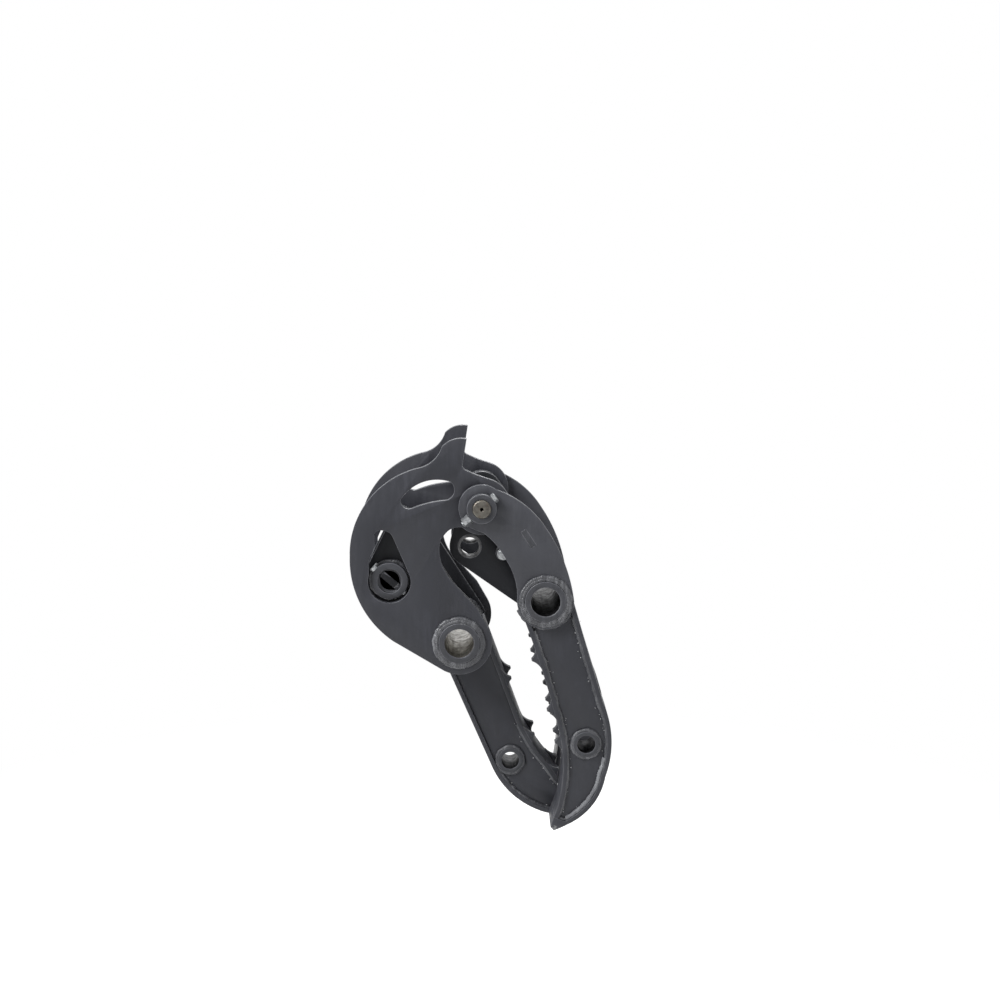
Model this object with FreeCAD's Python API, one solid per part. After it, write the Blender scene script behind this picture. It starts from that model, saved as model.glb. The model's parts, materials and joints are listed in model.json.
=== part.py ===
"""Log grapple for a three-tonne excavator: two hinged jaws with toothed box tines.

The arm jaw hangs on the machine's arm pin.  The cylinder jaw turns on two stub pins in the
arm jaw's plates and is driven by the machine's bucket cylinder.  Millimetres, +X towards the
arm jaw's tines, +Y from the near side to the far side, +Z up.  The origin is on the axis of
the arm pin, midway between the arm jaw's ears.  The jaws are closed.
"""
import FreeCAD, Part
import math
import os

Vector = FreeCAD.Vector

# ---- hole and tube centres, each from the arm pin's axis ----
HINGE_X = 27.0
HINGE_Z = 96.0
CYLINDER_PIN_X = -174.0
CYLINDER_PIN_Z = -70.0
DRIVEN_TUBE_X = -23.0          # main tube of the cylinder jaw
DRIVEN_TUBE_Z = -206.0
DRIVEN_TIP_TUBE_X = 91.0       # small tube through its tine
DRIVEN_TIP_TUBE_Z = -509.0
ARM_TUBE_X = 165.0             # main tube of the arm jaw
ARM_TUBE_Z = -110.0
ARM_TIP_TUBE_X = 257.0         # small tube through each of its tines
ARM_TIP_TUBE_Z = -437.0

# ---- widths across the grapple ----
EAR_GAP = 144.0                # between the inner ears, for the arm's boss
EAR_THICKNESS = 18.0
HUB_LENGTH = 43.5              # hinge hub, from the inner ear to the outer face of its disc
DISC_THICKNESS = 12.0
SIDE_CLEARANCE = 0.5           # at each end of the hub
SHIM_THICKNESS = 3.0
OUTER_PLATE_THICKNESS = 12.0
CYLINDER_EAR_THICKNESS = 12.0
CYLINDER_EAR_SETBACK = 18.0    # from the inner face of the disc
DRIVEN_TINE_WIDTH = 96.0
WEB_THICKNESS = 8.0
FLANGE_THICKNESS = 10.0
FLANGE_OVERHANG = 8.0          # flange edge beyond the outer face of a web

# ---- pins, bores and tubes ----
ARM_PIN_DIAMETER = 40.0
CYLINDER_PIN_DIAMETER = 40.0
PIN_CLEARANCE = 0.25           # radial, round the machine's two pins
ARM_BUSH_WALL = 6.0
COLLAR_RADIUS = 40.0           # round the cylinder pin
COLLAR_LENGTH = 32.0
COLLAR_MOUTH_RADIUS = 26.5     # counterbore at the outer end
COLLAR_MOUTH_DEPTH = 9.0
STUB_PIN_DIAMETER = 40.0
STUB_PIN_RECESS = 4.0          # inner end below the face of the ear
STUB_PIN_END = 5.0             # beyond the retaining collar
STUB_PIN_BEVEL = 2.5
GREASE_HOLE_RADIUS = 4.0
GREASE_HOLE_DEPTH = 60.0
RUNNING_CLEARANCE = 0.05       # radial, stub pin in its bush
FIXED_CLEARANCE = 0.1          # radial, pins and bolts in the pieces that hold them
BUSH_WALL = 6.0
HUB_WALL = 12.0
RETAINER_WALL = 12.0
RETAINER_LENGTH = 19.0
MAIN_TUBE_RADIUS = 45.0
MAIN_TUBE_WALL = 13.0
MAIN_TUBE_END = 8.0            # beyond the plates at each end
TIP_TUBE_RADIUS = 29.0
TIP_TUBE_WALL = 9.0
TIP_TUBE_END = 6.0             # beyond the webs at each end
ARM_EAR_RADIUS = 44.0          # inner ear round the arm pin
HINGE_EAR_RADIUS = 46.0        # inner ear round the hinge
TUBE_EAR_RIM = 5.0             # inner ear beyond the main tube
HINGE_END_RADIUS = 50.0        # outer plate round the hinge
PLATE_END_RIM = 17.0           # outer plate beyond the main tube
DISC_HINGE_RADIUS = 62.0
DISC_TUBE_RIM = 27.0           # disc beyond the main tube
WEB_RIM = 13.0                 # webs and cylinder ears beyond the main tubes
CYLINDER_EAR_RADIUS = 57.0     # cylinder ear round the pin
CYLINDER_EAR_CROWN = 24.0      # radius of its upper end
CYLINDER_EAR_SHOULDER = 28.0   # radius of its rounded corner beside the disc's throat

# ---- openings in the disc ----
WINDOW_RADIUS = 46.5           # round the cylinder pin's collar

# ---- teeth ----
DRIVEN_TEETH = (137.0, 283.0, 383.0)       # middles along the grip face, from the tube's level
ARM_TEETH = (124.0, 244.0, 321.0)
TOOTH_BASE = 48.0
TOOTH_HEIGHT = 15.0
TOOTH_POINT = 4.0              # width of the blunt point
TOOTH_LEAN = 4.0               # of the point, to the side that a log rolls towards
TOOTH_HOLLOW = 3.5             # of the flanks
TOOTH_SEAT = 5.0               # of the root, in the flange
TOOTH_THICKNESS = 14.0

# ---- fasteners ----
BOLT_DIAMETER = 12.0
HEX_ACROSS_FLATS = 19.0
BOLT_HEAD_HEIGHT = 8.0
NUT_HEIGHT = 9.0
BOLT_END = 4.0                 # thread beyond the second nut
RETAINER_BOLT_ANGLE = 40.0     # above the X axis
PIN_BOLT_ANGLE = 139.0         # locking bolt of the cylinder pin, above the X axis
PIN_BOLT_INNER = 28.0          # from the pin's axis to the ends of its two screws, drawn back
PIN_SCREW_END = 4.0            # headless screw beyond the collar
PIN_BOLT_GAP = 1.0             # from the ear to the flats of the head
LOCK_BOSS_X = 74.0
LOCK_BOSS_Z = -14.0
LOCK_BOSS_RADIUS = 14.0
LOCK_BOSS_LENGTH = 14.0
LOCK_BOLT_DEPTH = 10.0
LOCK_WASHER_THICKNESS = 4.0

# ---- motion ----
OPEN_ANGLE = 138.0             # travel of the cylinder jaw from closed
STOP_GAP = 0.6                 # left between the horn and the stop block at full travel
STOP_BLOCK_LENGTH = 42.0
STOP_BLOCK_WIDTH = 13.0
STOP_BLOCK_REACH = 3.0         # beyond the inner face of the disc
HORN_FLAT_START = (-41.0, 90.0)            # ends of the horn's flat, from the hinge
HORN_FLAT_END = (-32.0, 147.0)

# ---- tine points ----
DRIVEN_POINT_X = 186.0         # end of the tine, from its small tube
DRIVEN_POINT_Z = -107.0
ARM_POINT_X = -71.0
ARM_POINT_Z = -200.0
TIP_LENGTH = 24.0              # solid point of a tine
TIP_NOSE_RADIUS = 4.0
SPLIT_REACH = 600.0            # of the blocks that part one piece of a tine from the next
SAME_PLACE = 0.01              # two points nearer than this are one

# ---- what follows from the sizes above ----
EAR_IN = EAR_GAP / 2
EAR_OUT = EAR_IN + EAR_THICKNESS
HUB_IN = EAR_OUT + SIDE_CLEARANCE
DISC_OUT = HUB_IN + HUB_LENGTH
DISC_IN = DISC_OUT - DISC_THICKNESS
OUTER_IN = DISC_OUT + SIDE_CLEARANCE + SHIM_THICKNESS
OUTER_OUT = OUTER_IN + OUTER_PLATE_THICKNESS
CYLINDER_EAR_OUT = DISC_IN - CYLINDER_EAR_SETBACK
CYLINDER_EAR_IN = CYLINDER_EAR_OUT - CYLINDER_EAR_THICKNESS
STUB_RADIUS = STUB_PIN_DIAMETER / 2
BUSH_BORE = STUB_RADIUS + RUNNING_CLEARANCE
HUB_BORE = BUSH_BORE + BUSH_WALL
HUB_RADIUS = HUB_BORE + HUB_WALL
RETAINER_RADIUS = STUB_RADIUS + FIXED_CLEARANCE + RETAINER_WALL
BOLT_RADIUS = BOLT_DIAMETER / 2
TUBE_EAR_RADIUS = MAIN_TUBE_RADIUS + TUBE_EAR_RIM
PLATE_END_RADIUS = MAIN_TUBE_RADIUS + PLATE_END_RIM
DISC_TUBE_RADIUS = MAIN_TUBE_RADIUS + DISC_TUBE_RIM
WEB_END_RADIUS = MAIN_TUBE_RADIUS + WEB_RIM
ARM_BORE = ARM_PIN_DIAMETER / 2 + PIN_CLEARANCE
CYLINDER_BORE = CYLINDER_PIN_DIAMETER / 2 + PIN_CLEARANCE

ARM_PIN = (0.0, 0.0)
HINGE = (HINGE_X, HINGE_Z)
CYLINDER_PIN = (CYLINDER_PIN_X, CYLINDER_PIN_Z)
DRIVEN_TUBE = (DRIVEN_TUBE_X, DRIVEN_TUBE_Z)
DRIVEN_TIP_TUBE = (DRIVEN_TIP_TUBE_X, DRIVEN_TIP_TUBE_Z)
ARM_TUBE = (ARM_TUBE_X, ARM_TUBE_Z)
ARM_TIP_TUBE = (ARM_TIP_TUBE_X, ARM_TIP_TUBE_Z)


# ---- geometry helpers: points are (x, z) pairs in the plane of the plates ----
def off(centre, dx, dz):
    """The point dx, dz away from a centre."""
    return (centre[0] + dx, centre[1] + dz)


def polar(centre, radius, degrees):
    """The point at a radius and an angle above the X axis from a centre."""
    angle = math.radians(degrees)
    return off(centre, radius * math.cos(angle), radius * math.sin(angle))


def angle_to(a, b):
    """The angle above the X axis of the line from a to b, in degrees."""
    return math.degrees(math.atan2(b[1] - a[1], b[0] - a[0]))


def tangent(point, centre, radius, side):
    """Where the line from a point touches a circle, on the left (+1) or right (-1) side."""
    distance = math.hypot(point[0] - centre[0], point[1] - centre[1])
    spread = math.degrees(math.acos(radius / distance))
    return polar(centre, radius, angle_to(centre, point) + side * spread)


def at_y(point, y=0.0):
    return Vector(point[0], y, point[1])


def edges(start, *runs):
    """A chain of edges: each run is (end,) for a line or (mid, end) for an arc."""
    chain, here = [], start
    for run in runs:
        end = run[-1]
        if len(run) == 1:
            chain.append(Part.makeLine(at_y(here), at_y(end)))
        else:
            chain.append(Part.Arc(at_y(here), at_y(run[0]), at_y(end)).toShape())
        here = end
    return chain


def closed_face(*chains):
    """The face inside chains of edges that meet end to end."""
    return Part.Face(Part.Wire([edge for chain in chains for edge in chain]))


def belt_face(circles):
    """The face inside a belt pulled round circles, each (centre, radius), counter-clockwise."""
    touches = []
    for (c0, r0), (c1, r1) in zip(circles, circles[1:] + circles[:1]):
        distance = math.hypot(c1[0] - c0[0], c1[1] - c0[1])
        out = angle_to(c0, c1) - math.degrees(math.acos((r0 - r1) / distance))
        touches.append((polar(c0, r0, out), polar(c1, r1, out), out))
    chain = []
    for index, (centre, radius) in enumerate(circles):
        arrive, leave = touches[index - 1], touches[index]
        turn = (leave[2] - arrive[2]) % 360
        middle = polar(centre, radius, arrive[2] + turn / 2)
        chain.append(Part.Arc(at_y(arrive[1]), at_y(middle), at_y(leave[0])).toShape())
        chain.append(Part.makeLine(at_y(leave[0]), at_y(leave[1])))
    return Part.Face(Part.Wire(chain))


def plate(face, y0, y1):
    """A face in the XZ plane, thickened from y0 to y1."""
    low = min(y0, y1)
    moved = face.translated(Vector(0, low, 0))
    solid = moved.extrude(Vector(0, abs(y1 - y0), 0))
    return solid


def rod(centre, radius, y0, y1):
    low = min(y0, y1)
    return Part.makeCylinder(radius, abs(y1 - y0), at_y(centre, low), Vector(0, 1, 0))


def tube(centre, radius, bore, y0, y1):
    return rod(centre, radius, y0, y1).cut(rod(centre, bore, y0, y1))


def hex_prism(base, direction, height):
    """A hexagon bolt head or nut standing on a point."""
    corner = HEX_ACROSS_FLATS / math.sqrt(3)
    ring = [Vector(corner * math.cos(math.radians(60 * k)), corner * math.sin(math.radians(60 * k)), 0)
            for k in range(6)]
    prism = Part.Face(Part.makePolygon(ring + ring[:1])).extrude(Vector(0, 0, height))
    prism.Placement = FreeCAD.Placement(base, FreeCAD.Rotation(Vector(0, 0, 1), direction))
    return prism


def mirrored(shape):
    """The same piece on the far side."""
    return shape.mirror(Vector(0, 0, 0), Vector(0, 1, 0))


def save(name, shape):
    """Write one piece, or one group of like pieces, as a node."""
    shape = shape.removeSplitter()
    if not shape.isValid() or shape.Volume <= 0:
        raise ValueError(name + " is not a sound solid")
    shape.exportStep("parts/" + name + ".step")
    return shape


def save_pair(name, near):
    """Write the near piece and its mirror image."""
    save(name + "_near", near)
    save(name + "_far", mirrored(near))


# ---- cylinder jaw: plates ----
def disc_face():
    """The big side plate: back, rounded end at the tube, throat, hinge end and horn."""
    back_low = off(CYLINDER_PIN, 6, -132)
    throat_low = off(DRIVEN_TUBE, 38, 79)
    tube_in = tangent(back_low, DRIVEN_TUBE, DISC_TUBE_RADIUS, 1)
    tube_out = tangent(throat_low, DRIVEN_TUBE, DISC_TUBE_RADIUS, -1)
    tube_mid = polar(DRIVEN_TUBE, DISC_TUBE_RADIUS, -45)
    hinge_in = polar(HINGE, DISC_HINGE_RADIUS, -133)
    hinge_mid = polar(HINGE, DISC_HINGE_RADIUS, -30)
    hinge_out = polar(HINGE, DISC_HINGE_RADIUS, 75)
    horn_foot = off(HINGE, *HORN_FLAT_START)
    horn_tip = off(HINGE, *HORN_FLAT_END)
    shoulder = off(HINGE, -131, 85)
    outline = edges(
        horn_tip,
        (off(HINGE, -59, 146), off(HINGE, -85, 130)),
        (off(HINGE, -104, 100), shoulder),
        (off(CYLINDER_PIN, -36, 189), off(CYLINDER_PIN, -85, 56)),
        (off(CYLINDER_PIN, -63, -50), back_low),
        (tube_in,),
        (tube_mid, tube_out),
        (throat_low,),
        (off(HINGE, -68, -161),),
        (off(HINGE, -91, -111), off(HINGE, -89, -72)),
        (off(HINGE, -80, -61),),
        (off(HINGE, -64, -48), hinge_in),
        (hinge_mid, hinge_out),
        (off(HINGE, -13, 70), off(HINGE, -33, 79)),
        (off(HINGE, -39, 83), horn_foot),
        (horn_tip,),
    )
    return closed_face(outline)


def slot_face():
    """The crescent slot between the hinge and the back of the disc."""
    left, right = off(HINGE, -174, 15), off(HINGE, -67, 54)
    right_low, left_low = off(HINGE, -75, 14), off(HINGE, -152, -4)
    return closed_face(edges(
        left, (off(HINGE, -130, 52), right), (off(HINGE, -59, 34), right_low),
        (off(HINGE, -115, 8), left_low), (off(HINGE, -169, 0), left)))


def window_face():
    """The window that the cylinder pin goes through, with room for a spanner on its bolt."""
    low_left = polar(CYLINDER_PIN, WINDOW_RADIUS, 163)
    crown_right = off(CYLINDER_PIN, 9, 99)
    low_right = tangent(crown_right, CYLINDER_PIN, WINDOW_RADIUS, -1)
    return closed_face(edges(
        low_left, (off(CYLINDER_PIN, -44, 48),), (off(CYLINDER_PIN, -30, 79),),
        (off(CYLINDER_PIN, -31, 107),), (off(CYLINDER_PIN, -25, 113), off(CYLINDER_PIN, -14, 114)),
        (off(CYLINDER_PIN, 0, 110), crown_right), (low_right,),
        (polar(CYLINDER_PIN, WINDOW_RADIUS, -90), low_left)))


def disc():
    """Near side plate of the cylinder jaw."""
    solid = plate(disc_face(), -DISC_OUT, -DISC_IN)
    holes = [plate(window_face(), -DISC_OUT, -DISC_IN), plate(slot_face(), -DISC_OUT, -DISC_IN),
             rod(HINGE, HUB_RADIUS, -DISC_OUT, -DISC_IN),
             rod(DRIVEN_TUBE, MAIN_TUBE_RADIUS, -DISC_OUT, -DISC_IN)]
    return solid.cut(holes)


def cylinder_ear():
    """Near ear plate between the cylinder pin and the main tube."""
    face = belt_face([(DRIVEN_TUBE, WEB_END_RADIUS),
                      (off(CYLINDER_PIN, 84, 24), CYLINDER_EAR_SHOULDER),
                      (off(CYLINDER_PIN, 16, 106), CYLINDER_EAR_CROWN),
                      (CYLINDER_PIN, CYLINDER_EAR_RADIUS)])
    solid = plate(face, -CYLINDER_EAR_OUT, -CYLINDER_EAR_IN)
    return solid.cut([rod(CYLINDER_PIN, COLLAR_RADIUS, -CYLINDER_EAR_OUT, -CYLINDER_EAR_IN),
                      rod(DRIVEN_TUBE, MAIN_TUBE_RADIUS, -CYLINDER_EAR_OUT, -CYLINDER_EAR_IN)])


def pin_bolt_frame():
    """Direction of the near locking bolt, and the point where it crosses the pin's axis."""
    angle = math.radians(PIN_BOLT_ANGLE)
    y = -CYLINDER_EAR_OUT - PIN_BOLT_GAP - HEX_ACROSS_FLATS / 2
    return at_y(CYLINDER_PIN, y), Vector(math.cos(angle), 0, math.sin(angle))


def pin_collar():
    """Near collar that carries the cylinder pin, with a wide mouth and a cross hole."""
    outer_end = CYLINDER_EAR_IN + COLLAR_LENGTH
    body = tube(CYLINDER_PIN, COLLAR_RADIUS, CYLINDER_BORE, -outer_end, -CYLINDER_EAR_IN)
    mouth = rod(CYLINDER_PIN, COLLAR_MOUTH_RADIUS, -outer_end, -outer_end + COLLAR_MOUTH_DEPTH)
    middle, direction = pin_bolt_frame()
    cross_hole = Part.makeCylinder(BOLT_RADIUS + FIXED_CLEARANCE, 2 * COLLAR_RADIUS,
                                   middle - direction * COLLAR_RADIUS, direction)
    return body.cut([mouth, cross_hole])


def pin_bolt():
    """Near locking bolt of the cylinder pin and the headless screw opposite, both drawn back."""
    middle, direction = pin_bolt_frame()
    shank = Part.makeCylinder(BOLT_RADIUS, COLLAR_RADIUS - PIN_BOLT_INNER,
                              middle + direction * PIN_BOLT_INNER, direction)
    head = hex_prism(middle + direction * COLLAR_RADIUS, direction, BOLT_HEAD_HEIGHT)
    screw = Part.makeCylinder(BOLT_RADIUS, COLLAR_RADIUS + PIN_SCREW_END - PIN_BOLT_INNER,
                              middle - direction * PIN_BOLT_INNER, direction * -1)
    return Part.makeCompound([shank.fuse(head), screw])


# ---- arm jaw: plates ----
def outer_plate_face():
    """The arched plate from the hinge to the main tube."""
    back = polar(ARM_TUBE, PLATE_END_RADIUS, 0)
    belly = polar(ARM_TUBE, PLATE_END_RADIUS, 180)
    crown = polar(HINGE, HINGE_END_RADIUS, 52)
    throat = off(HINGE, 5, -56)
    hinge_low = tangent(throat, HINGE, HINGE_END_RADIUS, -1)
    return closed_face(edges(
        crown,
        (off(HINGE, 93, 5), off(HINGE, 140, -48)),
        (off(ARM_TUBE, 43, 78), back),
        (polar(ARM_TUBE, PLATE_END_RADIUS, -90), belly),
        (off(ARM_TUBE, -66, 46), off(ARM_TUBE, -84, 89)),
        (off(HINGE, 34, -85), throat),
        (hinge_low,),
        (polar(HINGE, HINGE_END_RADIUS, 150), crown)))


def outer_plate():
    """Near outer plate, with its slot for the stop block."""
    solid = plate(outer_plate_face(), -OUTER_OUT, -OUTER_IN)
    return solid.cut([rod(HINGE, STUB_RADIUS + FIXED_CLEARANCE, -OUTER_OUT, -OUTER_IN),
                      rod(ARM_TUBE, MAIN_TUBE_RADIUS, -OUTER_OUT, -OUTER_IN), stop_block()])


def inner_ear_blank():
    """Near inner ear before its holes are bored."""
    face = belt_face([(ARM_PIN, ARM_EAR_RADIUS), (ARM_TUBE, TUBE_EAR_RADIUS), (HINGE, HINGE_EAR_RADIUS)])
    return plate(face, -EAR_OUT, -EAR_IN)


def inner_ear():
    """Near ear that holds the arm pin, the inner end of the stub pin and the main tube."""
    return inner_ear_blank().cut([rod(ARM_PIN, ARM_BORE + ARM_BUSH_WALL, -EAR_OUT, -EAR_IN),
                                  rod(HINGE, STUB_RADIUS + FIXED_CLEARANCE, -EAR_OUT, -EAR_IN),
                                  rod(ARM_TUBE, MAIN_TUBE_RADIUS, -EAR_OUT, -EAR_IN)])


def stop_block():
    """Near block that the horn lands on, set from the horn's flat at full travel."""
    start, end = [turned(off(HINGE, *p), HINGE, -OPEN_ANGLE) for p in (HORN_FLAT_START, HORN_FLAT_END)]
    direction = angle_to(start, end)
    middle = off(start, (end[0] - start[0]) / 2, (end[1] - start[1]) / 2)
    centre = polar(middle, STOP_GAP + STOP_BLOCK_WIDTH / 2, direction - 90)
    block = Part.makeBox(STOP_BLOCK_LENGTH, OUTER_OUT - DISC_IN + STOP_BLOCK_REACH, STOP_BLOCK_WIDTH,
                         Vector(-STOP_BLOCK_LENGTH / 2, 0, -STOP_BLOCK_WIDTH / 2))
    block.rotate(Vector(0, 0, 0), Vector(0, 1, 0), -direction)
    block.translate(at_y(centre, -OUTER_OUT))
    return block


def turned(point, centre, degrees):
    """A point turned about a centre, counter-clockwise as seen from the near side."""
    radius = math.hypot(point[0] - centre[0], point[1] - centre[1])
    return polar(centre, radius, angle_to(centre, point) + degrees)


# ---- hinge ----
def stub_pin():
    """Near stub pin, from the inner ear out through the retaining collar."""
    inner, outer = EAR_IN + STUB_PIN_RECESS, OUTER_OUT + RETAINER_LENGTH + STUB_PIN_END
    pin = rod(HINGE, STUB_RADIUS, -outer, -inner)
    ends = [edge for edge in pin.Edges if edge.Closed]
    pin = pin.makeChamfer(STUB_PIN_BEVEL, ends)
    hole = rod(HINGE, GREASE_HOLE_RADIUS, -outer, -outer + GREASE_HOLE_DEPTH)
    return pin.cut([hole, retainer_bolt_bore()])


def retainer_bolt_frame():
    """Middle and direction of the bolt through the near retaining collar."""
    middle = at_y(HINGE, -OUTER_OUT - RETAINER_LENGTH / 2)
    angle = math.radians(RETAINER_BOLT_ANGLE)
    return middle, Vector(math.cos(angle), 0, math.sin(angle))


def retainer_bolt_bore():
    middle, direction = retainer_bolt_frame()
    return Part.makeCylinder(BOLT_RADIUS + FIXED_CLEARANCE, 2 * RETAINER_RADIUS,
                             middle - direction * RETAINER_RADIUS, direction)


def retainer():
    """Near retaining collar on the outer end of the stub pin."""
    ring = tube(HINGE, RETAINER_RADIUS, STUB_RADIUS + FIXED_CLEARANCE,
                -OUTER_OUT - RETAINER_LENGTH, -OUTER_OUT)
    return ring.cut(retainer_bolt_bore())


def retainer_bolt():
    """Near through-bolt with its head on one side of the collar."""
    middle, direction = retainer_bolt_frame()
    length = 2 * RETAINER_RADIUS + 2 * NUT_HEIGHT + BOLT_END
    shank = Part.makeCylinder(BOLT_RADIUS, length, middle + direction * RETAINER_RADIUS, direction * -1)
    return shank.fuse(hex_prism(middle + direction * RETAINER_RADIUS, direction, BOLT_HEAD_HEIGHT))


def retainer_nuts():
    """Near pair of locked nuts on the other side."""
    middle, direction = retainer_bolt_frame()
    nuts = []
    for place in (0, 1):
        base = middle - direction * (RETAINER_RADIUS + place * NUT_HEIGHT)
        nut = hex_prism(base, direction * -1, NUT_HEIGHT)
        nuts.append(nut.cut(Part.makeCylinder(BOLT_RADIUS, NUT_HEIGHT, base, direction * -1)))
    return Part.makeCompound(nuts)


def hinge_hub():
    """Near hub of the cylinder jaw, welded through its disc."""
    return tube(HINGE, HUB_RADIUS, HUB_BORE, -DISC_OUT, -HUB_IN)


def hinge_bush():
    """Near bronze bush in the hub."""
    return tube(HINGE, HUB_BORE, BUSH_BORE, -DISC_OUT, -HUB_IN)


def hinge_shim():
    """Near shim washer between the disc and the outer plate."""
    return tube(HINGE, HUB_RADIUS, STUB_RADIUS + FIXED_CLEARANCE, -OUTER_IN, -OUTER_IN + SHIM_THICKNESS)


def arm_pin_bush():
    """Near steel bush round the machine's arm pin."""
    return tube(ARM_PIN, ARM_BORE + ARM_BUSH_WALL, ARM_BORE, -EAR_OUT, -EAR_IN)


def lock_boss():
    """Near threaded boss that takes the bolt of the arm pin's keeper."""
    centre = (LOCK_BOSS_X, LOCK_BOSS_Z)
    outer = EAR_OUT + LOCK_BOSS_LENGTH
    return tube(centre, LOCK_BOSS_RADIUS, BOLT_RADIUS, -outer, -EAR_OUT)


def lock_bolt():
    """Near keeper bolt with its washer, screwed into the boss."""
    centre = (LOCK_BOSS_X, LOCK_BOSS_Z)
    face = EAR_OUT + LOCK_BOSS_LENGTH
    washer_face = face + LOCK_WASHER_THICKNESS
    washer = tube(centre, LOCK_BOSS_RADIUS, BOLT_RADIUS, -washer_face, -face)
    shank = rod(centre, BOLT_RADIUS, -washer_face, -face + LOCK_BOLT_DEPTH)
    head = hex_prism(at_y(centre, -washer_face), Vector(0, -1, 0), BOLT_HEAD_HEIGHT)
    return washer.fuse([shank, head])


def main_tube(centre, half_length):
    return tube(centre, MAIN_TUBE_RADIUS, MAIN_TUBE_RADIUS - MAIN_TUBE_WALL, -half_length, half_length)


# ---- tines ----
class Tine:
    """A box tine: two webs between a back flange and a toothed grip flange."""

    def __init__(self, root, tip_tube, back, grip, grip_turn, y_low, y_high):
        self.root, self.tip_tube = root, tip_tube
        self.y_low, self.y_high = y_low, y_high      # edges of the flanges
        self.axis = angle_to(root, tip_tube)
        self.grip_turn = grip_turn                   # from the axis to the grip side, +90 or -90
        back_start = polar(root, WEB_END_RADIUS, self.axis - grip_turn)
        grip_start = polar(root, WEB_END_RADIUS, self.axis + grip_turn)
        self.point = grip[-1][-1]
        self.grip_edges = edges(grip_start, *grip)
        cap = edges(grip_start, (polar(root, WEB_END_RADIUS, self.axis + 180), back_start))
        outline = cap + edges(back_start, *back) + edges(back[-1][-1], (self.point,))
        self.face = Part.Face(Part.Wire(outline + self.grip_edges[::-1]))
        self.core = self.face.makeOffset2D(-FLANGE_THICKNESS)
        self.tip_axis = angle_to(tip_tube, self.point)

    def full(self, face):
        """A face thickened to the whole width of the tine."""
        return plate(face, self.y_low, self.y_high)

    def beyond(self, centre, degrees):
        """A block of everything past a line through a centre, square to a direction."""
        side = [polar(centre, SPLIT_REACH, degrees + 90), polar(centre, SPLIT_REACH, degrees - 90)]
        far = [polar(p, SPLIT_REACH, degrees) for p in side]
        return self.full(Part.Face(Part.makePolygon([at_y(p) for p in
                                                     (side[0], side[1], far[1], far[0], side[0])])))

    def tip_line(self):
        """The block that holds the solid point."""
        start = polar(self.point, TIP_LENGTH, self.tip_axis + 180)
        return self.beyond(start, self.tip_axis)

    def grip_side(self):
        """The block on the grip's side of the line down the middle of the tine."""
        start = polar(self.point, TIP_LENGTH, self.tip_axis + 180)
        across = Part.makeLine(at_y(polar(start, SPLIT_REACH, self.tip_axis + 90)),
                               at_y(polar(start, SPLIT_REACH, self.tip_axis - 90)))
        middle = self.core.common(across).Edges[0].CenterOfMass
        end = polar((middle.x, middle.z), TIP_LENGTH, self.tip_axis)
        ring = [polar(self.root, SPLIT_REACH, self.axis + 180), self.root, self.tip_tube,
                (middle.x, middle.z), end]
        ring += [polar(end, SPLIT_REACH, self.tip_axis + self.grip_turn),
                 polar(ring[0], SPLIT_REACH, self.axis + self.grip_turn), ring[0]]
        return self.full(Part.Face(Part.makePolygon([at_y(p) for p in ring])))

    def band(self):
        """Both flanges in one piece, from the level of the main tube to the solid point."""
        ring = self.full(self.face).cut(self.full(self.core))
        ring = ring.common(self.beyond(self.root, self.axis))
        return ring.cut([self.tip_line(), rod(self.root, MAIN_TUBE_RADIUS, self.y_low, self.y_high)])

    def grip_flange(self, *notches):
        return self.band().common(self.grip_side()).cut(list(notches))

    def back_flange(self, *notches):
        return self.band().cut([self.grip_side()] + list(notches))

    def tip(self):
        """The solid point, with a rounded nose."""
        solid = self.full(self.face).common(self.tip_line())
        end = at_y(self.point)
        nose = [edge for edge in solid.Edges
                if all(math.hypot(v.X - end.x, v.Z - end.z) < SAME_PLACE for v in edge.Vertexes)]
        return solid.makeFillet(TIP_NOSE_RADIUS, nose)

    def web(self, outer_y, inward):
        """A web with its outer face at outer_y, holed for both tubes."""
        end_y = outer_y + inward * WEB_THICKNESS
        body = plate(self.core, outer_y, end_y).cut(self.tip_line())
        return body.cut([rod(self.root, MAIN_TUBE_RADIUS, outer_y, end_y),
                         rod(self.tip_tube, TIP_TUBE_RADIUS, outer_y, end_y)])

    def cross_tube(self):
        low = self.y_low + FLANGE_OVERHANG - TIP_TUBE_END
        high = self.y_high - FLANGE_OVERHANG + TIP_TUBE_END
        return tube(self.tip_tube, TIP_TUBE_RADIUS, TIP_TUBE_RADIUS - TIP_TUBE_WALL, low, high)

    def grip_place(self, distance):
        """The point and the direction of travel at a distance along the grip face."""
        for edge in self.grip_edges:
            if distance <= edge.Length:
                break
            distance -= edge.Length
        parameter = edge.getParameterByLength(min(distance, edge.Length))
        return edge.valueAt(parameter), edge.tangentAt(parameter)

    def tooth(self, distance, y0):
        """One tooth with hollow flanks, seated on the grip face."""
        foot, along = self.grip_place(distance)
        out = Vector(-along.z, 0, along.x) * math.copysign(1.0, self.grip_turn)

        lean = math.copysign(TOOTH_LEAN, self.grip_turn)

        def place(t, n):
            spot = foot + along * t + out * n
            return (spot.x, spot.z)

        def flank(side):
            """Middle of a hollow flank, from the base's end to the point."""
            shoulder = lean + side * TOOTH_POINT / 2
            return place((side * TOOTH_BASE / 2 + shoulder) / 2, TOOTH_HEIGHT / 2 - TOOTH_HOLLOW)

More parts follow.
